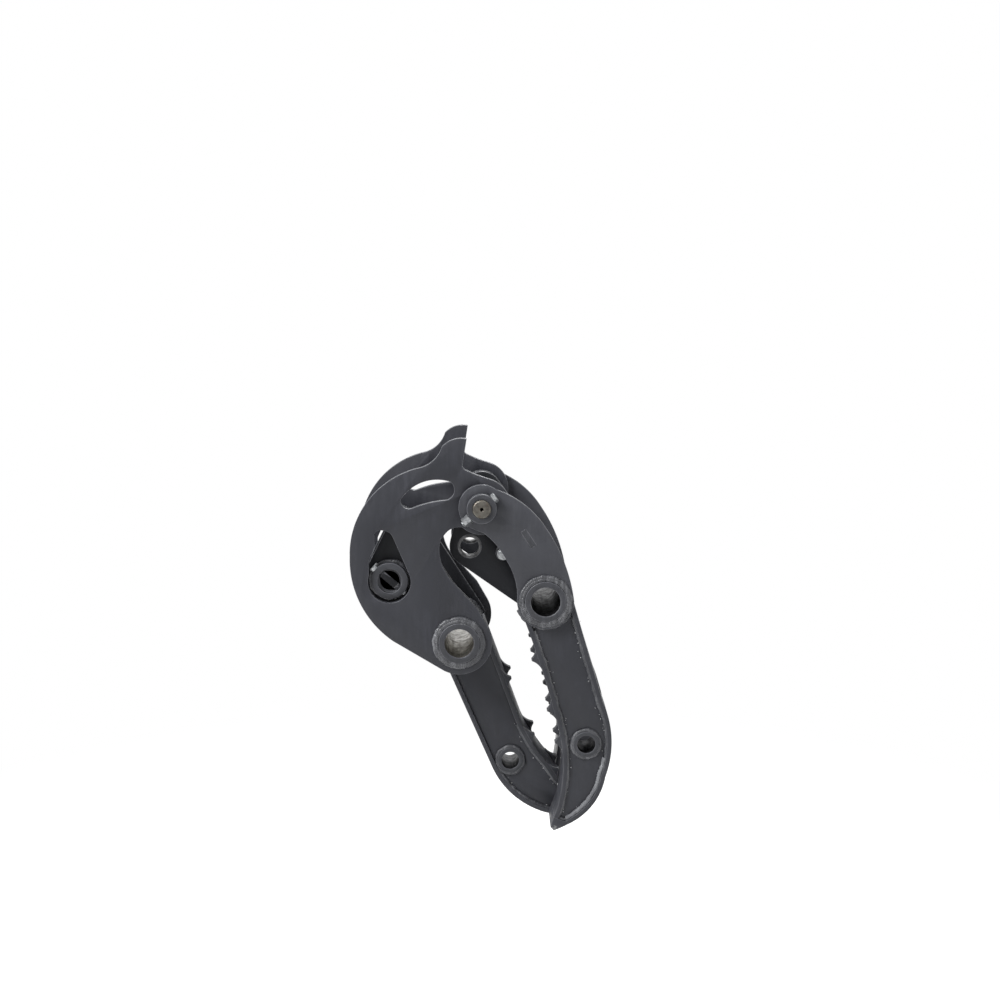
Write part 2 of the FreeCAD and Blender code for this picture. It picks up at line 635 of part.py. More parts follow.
        half, point = TOOTH_BASE / 2, TOOTH_POINT / 2
        profile = closed_face(edges(
            place(-half, -TOOTH_SEAT), (place(-half, 0),),
            (flank(-1), place(lean - point, TOOTH_HEIGHT)), (place(lean + point, TOOTH_HEIGHT),),
            (flank(1), place(half, 0)), (place(half, -TOOTH_SEAT),), (place(-half, -TOOTH_SEAT),)))
        body = plate(profile, y0, y0 + TOOTH_THICKNESS)
        return body.cut(plate(self.face, y0, y0 + TOOTH_THICKNESS))

    def teeth(self, stations):
        """A row of teeth along each edge of the grip flange."""
        rows = (self.y_low, self.y_high - TOOTH_THICKNESS)
        return Part.makeCompound([self.tooth(s, y) for y in rows for s in stations])


def driven_tine():
    """The single tine in the middle of the cylinder jaw."""
    tip = DRIVEN_TIP_TUBE
    back = [(off(tip, -41, -16),), (off(tip, 7, -83), off(tip, 69, -121)),
            (off(tip, 126, -129), off(tip, DRIVEN_POINT_X, DRIVEN_POINT_Z))]
    grip = [(off(tip, 25, 88),), (off(tip, 54, 36), off(tip, 91, -14)),
            (off(tip, 118, -53), off(tip, 152, -85)), (off(tip, 180, -98),)]
    half = DRIVEN_TINE_WIDTH / 2
    return Tine(DRIVEN_TUBE, tip, back, grip, 90, -half, half)


def arm_tine():
    """The near tine of the arm jaw, between the inner ear and the outer plate."""
    tip = ARM_TIP_TUBE
    back = [(off(ARM_TUBE, 80, -70), off(tip, 36, 97)), (off(tip, 56, 9), off(tip, 43, -75)),
            (off(tip, 15, -141), off(tip, -29, -180)),
            (off(tip, -52, -192), off(tip, ARM_POINT_X, ARM_POINT_Z))]
    grip = [(off(ARM_TUBE, -7, -155), off(tip, -60, 32)), (off(tip, -51, -57), off(tip, -63, -146)),
            (off(tip, -79, -191),)]
    y_low = -(OUTER_IN + FLANGE_OVERHANG)
    y_high = -(EAR_IN - WEB_THICKNESS - FLANGE_OVERHANG)
    return Tine(ARM_TUBE, tip, back, grip, -90, y_low, y_high)


def save_driven_tine():
    tine = driven_tine()
    outer = DRIVEN_TINE_WIDTH / 2 - FLANGE_OVERHANG
    save_pair("driven_tine_web", tine.web(-outer, 1))
    save("driven_tine_back_flange", tine.back_flange())
    save("driven_tine_grip_flange", tine.grip_flange())
    save("driven_tine_tip", tine.tip())
    save("driven_tine_teeth", tine.teeth(DRIVEN_TEETH))
    save("driven_tine_cross_tube", tine.cross_tube())


def save_arm_tines():
    tine = arm_tine()
    notches = [plate(outer_plate_face(), -OUTER_OUT, -OUTER_IN), inner_ear_blank()]
    save_pair("arm_tine_outer_web", tine.web(-OUTER_IN, 1))
    save_pair("arm_tine_inner_web", tine.web(-EAR_IN, 1))
    save_pair("arm_tine_back_flange", tine.back_flange(*notches))
    save_pair("arm_tine_grip_flange", tine.grip_flange(*notches))
    save_pair("arm_tine_tip", tine.tip())
    save_pair("arm_tine_teeth", tine.teeth(ARM_TEETH))
    save_pair("arm_tine_cross_tube", tine.cross_tube())


def save_arm_jaw():
    save_pair("arm_jaw_outer_plate", outer_plate())
    save_pair("arm_jaw_inner_ear", inner_ear())
    save("arm_jaw_main_tube", main_tube(ARM_TUBE, OUTER_OUT + MAIN_TUBE_END))
    save_pair("stop_block", stop_block())
    save_pair("arm_pin_bush", arm_pin_bush())
    save_pair("keeper_boss", lock_boss())
    save_pair("keeper_bolt", lock_bolt())


def save_hinge():
    save_pair("stub_pin", stub_pin())
    save_pair("stub_pin_collar", retainer())
    save_pair("collar_bolt", retainer_bolt())
    save_pair("collar_nuts", retainer_nuts())
    save_pair("hinge_shim", hinge_shim())


def save_cylinder_jaw():
    save_pair("cylinder_jaw_disc", disc())
    save_pair("cylinder_ear", cylinder_ear())
    save_pair("cylinder_pin_collar", pin_collar())
    save_pair("cylinder_pin_bolt", pin_bolt())
    save_pair("hinge_hub", hinge_hub())
    save_pair("hinge_bush", hinge_bush())
    save("cylinder_jaw_main_tube", main_tube(DRIVEN_TUBE, DISC_OUT + MAIN_TUBE_END))


os.makedirs("parts", exist_ok=True)
save_arm_jaw()
save_arm_tines()
save_hinge()
save_cylinder_jaw()
save_driven_tine()
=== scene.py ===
"""Finish the log grapple: broken plate edges, weld beads, fasteners, coatings, lamps and camera.

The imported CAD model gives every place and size.  Each steel piece is made again from its CAD
node with its edges broken, its faces are given their finishes, and the welds, hexagons and
threads are added.  Lengths are in metres, with +Z up and -Y towards the near side.
"""
import json
import logging
import math
from dataclasses import dataclass, field
from enum import Enum, IntEnum
from typing import Callable, Iterable, Sequence

import bmesh
import bpy
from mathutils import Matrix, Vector
from mathutils.bvhtree import BVHTree

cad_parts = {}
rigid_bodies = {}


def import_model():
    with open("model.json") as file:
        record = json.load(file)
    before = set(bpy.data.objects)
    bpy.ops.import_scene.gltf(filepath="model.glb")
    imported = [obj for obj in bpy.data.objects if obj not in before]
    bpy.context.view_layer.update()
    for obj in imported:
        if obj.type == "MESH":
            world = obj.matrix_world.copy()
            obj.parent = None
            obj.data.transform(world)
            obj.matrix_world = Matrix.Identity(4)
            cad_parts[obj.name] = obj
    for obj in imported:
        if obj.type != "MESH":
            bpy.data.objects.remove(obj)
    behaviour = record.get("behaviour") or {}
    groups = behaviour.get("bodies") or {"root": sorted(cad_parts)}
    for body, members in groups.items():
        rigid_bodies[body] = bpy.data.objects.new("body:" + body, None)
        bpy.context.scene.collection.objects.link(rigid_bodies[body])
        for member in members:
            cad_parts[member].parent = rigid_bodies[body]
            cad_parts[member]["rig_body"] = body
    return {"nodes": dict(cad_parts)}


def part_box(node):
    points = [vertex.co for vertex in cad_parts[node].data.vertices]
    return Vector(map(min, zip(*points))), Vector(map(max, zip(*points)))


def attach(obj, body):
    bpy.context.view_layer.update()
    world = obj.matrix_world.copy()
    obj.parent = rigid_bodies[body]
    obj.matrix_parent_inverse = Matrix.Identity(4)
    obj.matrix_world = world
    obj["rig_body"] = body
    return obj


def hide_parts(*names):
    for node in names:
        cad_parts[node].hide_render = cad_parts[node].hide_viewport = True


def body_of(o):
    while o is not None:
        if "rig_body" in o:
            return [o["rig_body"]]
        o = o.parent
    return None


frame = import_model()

Tree, Node = bpy.types.NodeTree, bpy.types.Node
Socket, Outputs = bpy.types.NodeSocket, bpy.types.NodeOutputs

LOG = logging.getLogger("log_grapple")
MM = 0.001
MERGE = 0.01 * MM                   # vertices nearer than this are one
FLAT_ANGLE = math.radians(0.6)      # faces that meet flatter than this are joined
CREASE_ANGLE = math.radians(28)     # edges sharper than this stay sharp on a fastener
ARC_STEP = 2.618 * MM               # between the points of a ring
SIDES = {"near": -1, "far": 1}      # each side, and the way out of it along Y

# Kinds of node, and settings, that stand in many places.
NOISE, MATH, RANGE = "ShaderNodeTexNoise", "ShaderNodeMath", "ShaderNodeMapRange"
VECTOR, MAPPING, BUMP = "ShaderNodeVectorMath", "ShaderNodeMapping", "ShaderNodeBump"
COORDINATES, MIX = "ShaderNodeTexCoord", "ShaderNodeMix"
SMOOTH = {"interpolation_type": "SMOOTHSTEP"}
COLOUR = {"data_type": "RGBA"}      # a Mix node then has its share at 0 and its colours at 6 and 7


class Zone(IntEnum):
    """Material slots of a steel piece, in order."""

    FACE = 0
    EDGE = 1
    BORE = 2


class Slot(Enum):
    """Names of the material slots; each steel piece is given one."""

    PLATE = "painted_plate"
    TUBE = "painted_tube"
    MACHINED = "painted_machined"
    WEAR = "worn_wear_part"
    PIN = "pin_steel"
    BUSH = "bush_steel"
    BRONZE = "bronze"
    ZINC = "zinc_fastener"


# ---------------------------------------------------------------- finishes
def linear(hex_colour: str) -> tuple[float, float, float, float]:
    """Turn an sRGB hex value into a linear colour.

    Args:
        hex_colour: six hex digits after a hash.
    Returns:
        Linear red, green, blue and an alpha of 1.
    """
    parts = [int(hex_colour[k:k + 2], 16) / 255 for k in (1, 3, 5)]
    red, green, blue = (c / 12.92 if c <= 0.04045 else ((c + 0.055) / 1.055) ** 2.4 for c in parts)
    return red, green, blue, 1.0


def per_mm(size: float) -> float:
    """Texture scale whose features are about this many millimetres across."""
    return 1.0 / (size * MM)


def add_node(tree: Tree, kind: str, inputs: dict | None = None, **settings: object) -> Node:
    """Add a node with its settings, values and links.

    Args:
        tree: the shader or geometry tree.
        kind: the node's Blender type.
        inputs: by input name or index, a value, a socket to link, or a node whose first
            output in use is linked.
        **settings: properties of the node.
    Returns:
        The new node.
    """
    node = tree.nodes.new(kind)
    for name, value in settings.items():
        setattr(node, name, value)
    for key, value in (inputs or {}).items():
        if isinstance(value, Node):
            value = next(socket for socket in value.outputs if socket.enabled)
        if isinstance(value, Socket):
            tree.links.new(value, node.inputs[key])
        else:
            node.inputs[key].default_value = value
    return node


@dataclass(frozen=True)
class Finish:
    """A surface finish, made once as a material."""

    name: str

    def material(self) -> bpy.types.Material:
        """Return the finish's material, building it the first time."""
        made = bpy.data.materials.get(self.name)
        if made is None:
            made = bpy.data.materials.new(self.name)
            made.use_nodes = True
            made.node_tree.nodes.clear()
            add_node(made.node_tree, "ShaderNodeOutputMaterial",
                     {"Surface": self.surface(made.node_tree)})
        return made

    def surface(self, tree: Tree) -> Node:
        """Return the shader that the finish's patterns feed."""
        return add_node(tree, "ShaderNodeBsdfPrincipled", self.patterns(tree))

    def patterns(self, tree: Tree) -> dict[str, object]:
        """Return the values and the nodes for the shader's inputs."""
        raise NotImplementedError


@dataclass(frozen=True)
class SprayedSteel(Finish):
    """Charcoal enamel sprayed on steel, chipped to bare metal where it is worn."""

    coat: str = "#2c2d32"
    faded: str = "#33343a"
    dust: str = "#8b8c8c"
    bare: str = "#929394"
    scale: str = "#5c5c5d"       # mill scale, mixed into the bare metal
    gloss: float = 0.45          # roughness of the enamel
    sheen: float = 0.28          # specular level of the matted enamel
    wear: float = -0.35          # share of the surface that has lost its coat; below 0 for none
    wear_gain: float = 0.0       # how far the piece's own wear attribute adds to that
    wear_reach: float = 0.3      # how far a wear of 1 lowers the level at which chips start
    dust_share: float = 0.08
    cloud: float = 95.0          # mm across a patch of grime
    run: float = 9.0             # mm across a run of grime, which is longer down the steel
    speck: float = 5.5           # mm between dots of dust
    crowd: float = 34.0          # mm across a group of them
    peel: float = 1.6            # mm between the bumps of the spray
    peel_height: float = 0.035   # mm
    wave: float = 70.0           # mm between the soft hollows of rolled plate
    wave_height: float = 0.45    # mm
    chip: float = 3.2            # mm across a chip
    chip_depth: float = 0.10     # mm
    brushing: float = 4.0        # mm across the grain of the bare metal

    def patterns(self, tree: Tree) -> dict[str, object]:
        """Return the enamel, its dust, its chips and its bumps.

        Args:
            tree: the material's tree.
        Returns:
            Values and nodes, by the shader's input.
        """
        here = add_node(tree, COORDINATES).outputs["Object"]
        down = add_node(tree, MAPPING, {"Vector": here, "Scale": (1.0, 1.0, 0.14)})
        across = add_node(tree, MAPPING, {"Vector": here, "Rotation": (0.0, 0.6, 0.0),
                                          "Scale": (1.0, 1.0, 7.0)})
        clouds, runs, grain = (add_node(tree, NOISE, {
            "Vector": place, "Scale": per_mm(size), "Detail": detail, "Roughness": rough})
            for place, size, detail, rough in (
                (here, self.cloud, 5.0, 0.6), (down, self.run, 4.0, 0.65),
                (across, self.brushing, 4.0, 0.5)))
        dusty, worn = self.dots(tree, here), self.worn(tree, here)
        level = self.wear * self.wear_reach
        cloudy, streaky, satin, chips, scuffed = (add_node(tree, RANGE, {
            "Value": value, "From Min": start, "From Max": end, "To Min": low, "To Max": high},
            **SMOOTH) for value, start, end, low, high in (
                (clouds, 0.38, 0.66, 0.0, 1.0), (runs, 0.35, 0.7, 0.0, 1.0),
                (runs, 0.3, 0.75, self.gloss - 0.06, self.gloss + 0.12),
                (worn, 0.665 - level, 0.69 - level, 0.0, 1.0),
                (worn, 0.60 - level, 0.68 - level, 0.0, 0.6)))
        colour = linear(self.coat)
        grime = add_node(tree, MATH, {0: cloudy, 1: streaky}, operation="MULTIPLY")
        steel = add_node(tree, MIX, {0: grain, 6: linear(self.bare), 7: linear(self.scale)},
                         **COLOUR)
        # grime on the coat, dust on that, scuffs round the chips, and steel in them
        for share, over in ((grime, linear(self.faded)), (dusty, linear(self.dust)),
                            (scuffed, linear(self.dust)), (chips, steel)):
            colour = add_node(tree, MIX, {0: share, 6: colour, 7: over}, **COLOUR)
        roughness = add_node(tree, MATH, {0: dusty, 1: 0.3, 2: satin}, operation="MULTIPLY_ADD")
        metallic = add_node(tree, MATH, {0: chips, 1: 0.85}, operation="MULTIPLY")
        return {"Base Color": colour, "Roughness": roughness, "Metallic": metallic,
                "Normal": self.relief(tree, here, chips), "Specular IOR Level": self.sheen}

    def dots(self, tree: Tree, here: Socket) -> Node:
        """Return dots of dust: small pale cells, thick in some places and absent in others.

        Args:
            tree: the material's tree.
            here: the piece's own coordinates.
        Returns:
            The node that gives the share of dust.
        """
        cells = add_node(tree, "ShaderNodeTexVoronoi", {"Vector": here,
                                                        "Scale": per_mm(self.speck)})
        dots = add_node(tree, RANGE, {"Value": cells, "From Min": 0.16, "From Max": 0.07},
                        **SMOOTH)
        groups = add_node(tree, NOISE, {"Vector": here, "Scale": per_mm(self.crowd),
                                        "Detail": 3.0})
        crowd = add_node(tree, RANGE, {"Value": groups, "From Min": 0.52, "From Max": 0.72},
                         **SMOOTH)
        dusty = add_node(tree, MATH, {0: dots, 1: crowd}, operation="MULTIPLY")
        return add_node(tree, MATH, {0: dusty, 1: self.dust_share}, operation="MULTIPLY")

    def worn(self, tree: Tree, here: Socket) -> Node:
        """Return how worn each place is: ragged patches, and the piece's own wear.

        Args:
            tree: the material's tree.
            here: the piece's own coordinates.
        Returns:
            The node that gives the wear.
        """
        ragged = add_node(tree, NOISE, {"Vector": here, "Scale": per_mm(self.chip),
                                        "Detail": 5.0, "Roughness": 0.7})
        broad = add_node(tree, NOISE, {"Vector": here, "Scale": per_mm(self.chip * 9),
                                       "Detail": 2.0})
        slow = add_node(tree, MATH, {0: broad, 1: 0.45}, operation="MULTIPLY")
        worn = add_node(tree, MATH, {0: ragged, 1: 0.55, 2: slow}, operation="MULTIPLY_ADD")
        if not self.wear_gain:
            return worn
        own = add_node(tree, "ShaderNodeAttribute", attribute_name="wear").outputs["Fac"]
        return add_node(tree, MATH, {0: own, 1: self.wear_gain * self.wear_reach, 2: worn},
                        operation="MULTIPLY_ADD")

    def relief(self, tree: Tree, here: Socket,
               chips: Node) -> Node:
        """Return the bumps of the spray and of the plate, less the depth of the chips.

        Args:
            tree: the material's tree.
            here: the piece's own coordinates.
            chips: the share of bare metal.
        Returns:
            The Bump node.
        """
        peel = add_node(tree, NOISE, {"Vector": here, "Scale": per_mm(self.peel),
                                      "Detail": 2.0})
        hollows = add_node(tree, NOISE, {"Vector": here, "Scale": per_mm(self.wave),
                                         "Detail": 1.0})
        fine = add_node(tree, MATH, {0: peel, 1: self.peel_height}, operation="MULTIPLY")
        whole = add_node(tree, MATH, {0: hollows, 1: self.wave_height, 2: fine},
                         operation="MULTIPLY_ADD")
        height = add_node(tree, MATH, {0: chips, 1: -self.chip_depth, 2: whole},
                          operation="MULTIPLY_ADD")
        return add_node(tree, BUMP, {"Height": height, "Distance": MM, "Strength": 1.0})


@dataclass(frozen=True)
class BareMetal(Finish):
    """Metal without paint: a bright and a dull tone in clouds, a film of rust, and fine marks."""

    bright: str = "#a8a7a4"
    dull: str = "#6f6d69"
    tarnish: str = "#5b4334"
    shine: float = 0.34          # roughness
    spread: tuple[float, float] = (-0.08, 0.14)    # added to that, from bright to dull
    cloud: float = 14.0          # mm across a cloud
    cloud_detail: float = 6.0
    cloud_edge: float = 0.65     # roughness of the clouds' noise
    clouded: tuple[float, float] = (0.35, 0.68)    # noise at which the dull tone starts and ends
    film: float = 6.0            # mm across a patch of rust
    rust: float = 0.15
    pitch: float = 0.8           # mm between the marks, coarser than real so that they show
    depth: float = 0.012         # mm

    def patterns(self, tree: Tree) -> dict[str, object]:
        """Return the clouds, the film and the marks.

        Args:
            tree: the material's tree.
        Returns:
            Values and nodes, by the shader's input.
        """
        here = add_node(tree, COORDINATES).outputs["Object"]
        clouds, patches = (add_node(tree, NOISE, {
            "Vector": here, "Scale": per_mm(size), "Detail": detail, "Roughness": rough})
            for size, detail, rough in ((self.cloud, self.cloud_detail, self.cloud_edge),
                                        (self.film, 5.0, 0.5)))
        dulled, film, roughness = (add_node(tree, RANGE, {
            "Value": value, "From Min": start, "From Max": end, "To Min": low, "To Max": high},
            **SMOOTH) for value, start, end, low, high in (
                (clouds, *self.clouded, 0.0, 1.0), (patches, 0.56, 0.72, 0.0, self.rust),
                (clouds, 0.3, 0.7, *(self.shine + more for more in self.spread))))
        tone = linear(self.bright)
        for share, over in ((dulled, self.dull), (film, self.tarnish)):
            tone = add_node(tree, MIX, {0: share, 6: tone, 7: linear(over)}, **COLOUR)
        height = add_node(tree, MATH, {0: self.marks(tree, here), 1: self.depth},
                          operation="MULTIPLY")
        bump = add_node(tree, BUMP, {"Height": height, "Distance": MM, "Strength": 1.0})
        return {"Base Color": tone, "Roughness": roughness, "Normal": bump, "Metallic": 1.0}

    def marks(self, tree: Tree, here: Socket) -> Socket:
        """Return the height of what the tool or the bath left."""
        raise NotImplementedError


@dataclass(frozen=True)
class TurnedSteel(BareMetal):
    """Bare or blackened steel turned on a lathe, with fine rings along its axis."""

    def marks(self, tree: Tree, here: Socket) -> Socket:
        """Return the tool marks; the Wave node's bands lie a twentieth of a unit apart."""
        return add_node(tree, "ShaderNodeTexWave", {
            "Vector": here, "Scale": per_mm(self.pitch) / 20, "Distortion": 0.6,
            "Detail": 2.0}, wave_type="BANDS", bands_direction="Y").outputs["Fac"]


@dataclass(frozen=True)
class ZincPlate(BareMetal):
    """Bright zinc plate on a rolled fastener, a little cloudy and never rusty."""

    bright: str = "#b0b2b4"
    dull: str = "#7d8083"
    shine: float = 0.27
    spread: tuple[float, float] = (0.0, 0.16)
    cloud: float = 5.0
    cloud_detail: float = 5.0
    cloud_edge: float = 0.6
    clouded: tuple[float, float] = (0.35, 0.7)
    rust: float = 0.0
    pitch: float = 0.6           # mm between the pits that pickling leaves

    def marks(self, tree: Tree, here: Socket) -> Socket:
        """Return the pits."""
        return add_node(tree, NOISE, {"Vector": here, "Scale": per_mm(self.pitch),
                                      "Detail": 2.0}).outputs["Fac"]


@dataclass(frozen=True)
class PaleGround(Finish):
    """Matt pale studio floor that fades to white away from the object."""

    near: str = "#efefee"
    squeeze: tuple[float, float, float] = (0.42, 0.42, 0.0)

    def surface(self, tree: Tree) -> Node:
        """Return the floor's shader, plain white to the camera far from the object.

        Args:
            tree: the material's tree.
        Returns:
            The shader.
        """
        here = add_node(tree, MAPPING, {"Vector": add_node(tree, COORDINATES).outputs["Object"],
                                        "Scale": self.squeeze})
        reach = add_node(tree, VECTOR, {0: here}, operation="LENGTH")
        far = add_node(tree, RANGE, {"Value": reach, "From Min": 0.25, "From Max": 1.0},
                       **SMOOTH)
        rays = add_node(tree, "ShaderNodeLightPath").outputs["Is Camera Ray"]
        share = add_node(tree, MATH, {0: far, 1: rays}, operation="MULTIPLY")
        matt = add_node(tree, "ShaderNodeBsdfDiffuse", {"Color": linear(self.near)})
        glow = add_node(tree, "ShaderNodeEmission", {"Strength": 1.0})
        return add_node(tree, "ShaderNodeMixShader", {0: share, 1: matt, 2: glow})


# Satin two-pack enamel on cut plate: near black with a faint blue cast and a soft sheen.
PLATE_ENAMEL = SprayedSteel("charcoal_enamel_on_plate")
# The arm jaw's outer plates: the plate enamel painted lighter, as painted light for the extra sky
# that they catch.
OUTER_ENAMEL_PAINTED_LIGHT = SprayedSteel("charcoal_enamel_painted_light", coat="#393a3f", faded="#414247")
# Ears between the plates: the enamel darkened nearly to black, with less sheen, as painted shade
# for the shadow that the outer plates cast on them.
INNER_ENAMEL_PAINTED_SHADE = SprayedSteel("enamel_inside_painted_shade", coat="#1b1c1f", faded="#222327", sheen=0.15)
# The same enamel on a flame-cut edge: a little rougher, rubbed through in places, and paler as
# painted highlight along the broken edges.
CUT_EDGE_PAINTED_HIGHLIGHT = SprayedSteel("rubbed_enamel_edge_painted_highlight", coat="#4a4b50", faded="#66676b", wear=0.06,
                        gloss=0.42, dust_share=0.15)
# Enamel on turned tube: slightly lighter, with a finer spray texture.
TUBE_ENAMEL = SprayedSteel("charcoal_enamel_on_tube", coat="#343539", faded="#404146", wave=40.0,
                           dust_share=0.10)
# Enamel on the flanges and points of the tines, scraped by timber: pale scuffs and bare steel.
TINE_ENAMEL = SprayedSteel("scraped_enamel_on_tine", coat="#2e2f34", faded="#3a3b40", wear=-0.2,
                           wear_gain=0.55, dust_share=0.15, gloss=0.44, chip=4.0)
# The corners of the same pieces: paler as painted highlight where they catch the light, over real
# scrapes and chips.
TINE_EDGE_PAINTED_HIGHLIGHT = SprayedSteel("scraped_tine_edge_painted_highlight", coat="#414247", faded="#5c5d61", wear=0.05,
                         wear_gain=0.5, dust_share=0.3, gloss=0.42)
# Painted weld metal: rippled, glossy where it bulges, with pale slag left in the hollows.
WELD_ENAMEL = SprayedSteel("painted_weld_bead", coat="#36373b", faded="#6c6d71", wear=-0.05,
                           dust_share=0.35, gloss=0.36, sheen=0.45, peel=0.9, chip=2.0)
# Drops thrown from the arc, under a thin coat: pale specks beside the beads.
SPATTER = SprayedSteel("pale_weld_spatter", coat="#b2b3b4", faded="#c8c8c8", wear=0.0,
                       dust_share=0.8, gloss=0.5, chip=1.5)
# Weld metal ground nearly flush and left thinly painted: a broad, pale, brushed band.
GROUND_WELD = SprayedSteel("ground_weld_band", coat="#5f6064", faded="#85878a", wear=0.05,
                           dust_share=0.3, gloss=0.4, chip=2.5)
# Bored steel that was masked or bored after painting: pale, with fine rings.
BORED_STEEL = TurnedSteel("bored_steel", bright="#b7b5b0", dull="#85827c", rust=0.25)
# The same steel darkened as painted shade for bores that lie in shadow: dark grey clouds all
# through.
BORE_PAINTED_SHADE = TurnedSteel("bored_steel_painted_shade", bright="#3d3e41", dull="#27282a", rust=0.2, shine=0.42)
# Hardened pins, blackened and oiled: dark grey with brown tarnish at the ends.
PIN_STEEL = TurnedSteel("blackened_pin_steel", bright="#6c6963", dull="#4a4743", rust=0.45,
                        shine=0.38)
# Hardened bush, ground and then dulled by grease: a dark ring with a soft glint.
BUSH_STEEL = TurnedSteel("ground_bush_steel", bright="#5c5c5d", dull="#424243", rust=0.1,
                         shine=0.36)
# Bearing bronze under grease: a thin brown-gold ring.
BRONZE = TurnedSteel("greased_bearing_bronze", bright="#a37c45", dull="#6c522f", rust=0.2,
                     shine=0.36)
# Zinc plate on the bolts and nuts: the palest metal on the part, with sharp glints.
ZINC = ZincPlate("bright_zinc_plate")


# ---------------------------------------------------------------- mesh work
@dataclass(frozen=True)
class Bore:
    """A round opening along Y, whose wall is bare."""

    x: float
    z: float
    radius: float

    def holds(self, centre: Vector, normal: Vector) -> bool:
        """Say whether a face lies on the bore's wall and looks at its axis.

        Args:
            centre: middle of the face.
            normal: its direction.
        Returns:
            True for a face of the wall.
        """
        out = Vector((centre.x - self.x, 0, centre.z - self.z))
        return abs(normal.y) < 0.3 and out.length < self.radius + MM and out.dot(normal) < 0


def axis_of(node: str) -> tuple[float, float]:
    """Centre of a round node along Y, as x and z."""
    low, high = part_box(node)
    return (low.x + high.x) / 2, (low.z + high.z) / 2


def rough_copy(node: str) -> bmesh.types.BMesh:
    """Copy a CAD node's mesh with its doubles merged and its flat faces joined.

    Args:
        node: name of the node.
    Returns:
        The closed mesh, to be freed by the caller.
    """
    work = bmesh.new()
    work.from_mesh(frame["nodes"][node].data)
    bmesh.ops.remove_doubles(work, verts=work.verts, dist=MERGE)
    bmesh.ops.dissolve_limit(work, angle_limit=FLAT_ANGLE, verts=work.verts,
                             edges=work.edges)
    return work


def new_piece(name: str, mesh: bpy.types.Mesh, body: str,
              nodes: Sequence[str] = ()) -> bpy.types.Object:
    """Put a mesh in the scene as a piece of a body.

    Args:
        name: the piece's name.
        mesh: its mesh, already in place.
        body: the body it rides on.
        nodes: CAD nodes that it stands for.
    Returns:
        The new object.
    """
    piece = bpy.data.objects.new(name, mesh)
    mesh.name = name
    bpy.context.scene.collection.objects.link(piece)
    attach(piece, body)
    if nodes:
        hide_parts(*nodes)
    LOG.info("%s: %d faces on %s", name, len(mesh.polygons), body)
    return piece


def baked(source: bpy.types.Object) -> bpy.types.Mesh:
    """Return a plain mesh of an object with its modifiers applied, and delete the object.

    Args:
        source: the object.
    Returns:
        The mesh.
    """
    bpy.context.view_layer.update()
    graph = bpy.context.evaluated_depsgraph_get()
    mesh = bpy.data.meshes.new_from_object(source.evaluated_get(graph), depsgraph=graph)
    source.modifiers.clear()
    bpy.data.objects.remove(source)
    return mesh


@dataclass
class SteelPiece:
    """A CAD piece made again with broken edges and a finish on each zone."""

    node: str
    slot: Slot
    face: Finish
    # the default edge finish's paler coat is painted highlight
    edge: Finish = CUT_EDGE_PAINTED_HIGHLIGHT
    # the default bore finish's dark tone is painted shade
    bore: Finish = BORE_PAINTED_SHADE
    edge_break: float = 0.9 * MM
    steps: int = 2
    sharp: float = 34.0          # degrees; sharper edges are broken
    bores: tuple[Bore, ...] = ()
    wear: Callable[[Vector], float] | None = None

    @classmethod
    def bare(cls, node: str, slot: Slot, finish: Finish, edge_break: float) -> "SteelPiece":
        """A piece with one finish all over."""
        return cls(node, slot, finish, finish, finish, edge_break)

    def make(self) -> bpy.types.Object:
        """Build the piece, put it on the node's body and hide the node.

        Returns:
            The finished object.
        """
        work = rough_copy(self.node)
        for face in work.faces:
            face.smooth = True
            inside = any(b.holds(face.calc_center_median(), face.normal) for b in self.bores)
            face.material_index = Zone.BORE if inside else Zone.FACE
        mesh = bpy.data.meshes.new(self.node)
        work.to_mesh(mesh)
        work.free()
        for finish in (self.face, self.edge, self.bore):
            mesh.materials.append(finish.material())
        source = bpy.data.objects.new(self.node + "_blank", mesh)
        bpy.context.scene.collection.objects.link(source)
        bevel = source.modifiers.new("break_edges", "BEVEL")
        bevel.width = self.edge_break
        bevel.segments = self.steps
        bevel.limit_method = "ANGLE"
        bevel.angle_limit = math.radians(self.sharp)
        bevel.harden_normals = True
        bevel.use_clamp_overlap = False
        bevel.material = Zone.EDGE
        finished = baked(source)
        if self.wear:
            worn = finished.attributes.new("wear", "FLOAT", "POINT")
            worn.data.foreach_set("value", [self.wear(v.co) for v in finished.vertices])
        body = body_of(frame["nodes"][self.node])[0]
        return new_piece("finished_" + self.node, finished, body, (self.node,))


def distance_to(node: str) -> Callable[[Vector], float]:
    """Return a function that gives a point's distance from a CAD node's surface.

    Args:
        node: name of the node.
    Returns:
        The function, of a point.
    """
    work = rough_copy(node)
    tree = BVHTree.FromBMesh(work)
    work.free()
    return lambda point: tree.find_nearest(point)[3]


# ---------------------------------------------------------------- welds
@dataclass
class Run:
    """A weld run: its line, and the half width and half height of its bead."""

    points: list[Vector]
    width: float
    closed: bool = False

    @staticmethod
    def ring(x: float, z: float, radius: float, y: float, width: float,
             start: float = 0.0, sweep: float = 360.0) -> "Run":
        """A run along a circle, or part of one, in a plane square to Y.

        Args:
            x, z: centre of the circle.
            radius: its radius.
            y: place of its plane.
            width: half width of the bead.
            start: where it starts, in degrees from +X towards +Z.
            sweep: how far it goes, in degrees.
        Returns:
            The run, closed where it goes all the way round.
        """
        count = max(8, int(math.radians(abs(sweep)) * radius / ARC_STEP))
        closed = abs(sweep) >= 360
        steps = count if closed else count + 1
        angles = [math.radians(start + sweep * k / count) for k in range(steps)]
        return Run([Vector((x + radius * math.cos(a), y, z + radius * math.sin(a)))
                    for a in angles], width, closed)


@dataclass(frozen=True)
class Ring:
    """A ring weld round a tube or a boss: the radius of its line and its half width."""

    radius: float
    width: float
    start: float = 0.0            # degrees

    def at(self, centre: Sequence[float], y: float) -> Run:
        """Return the run round a centre (x, z) in the plane at y."""
        return Run.ring(*centre, self.radius, y, self.width, self.start)


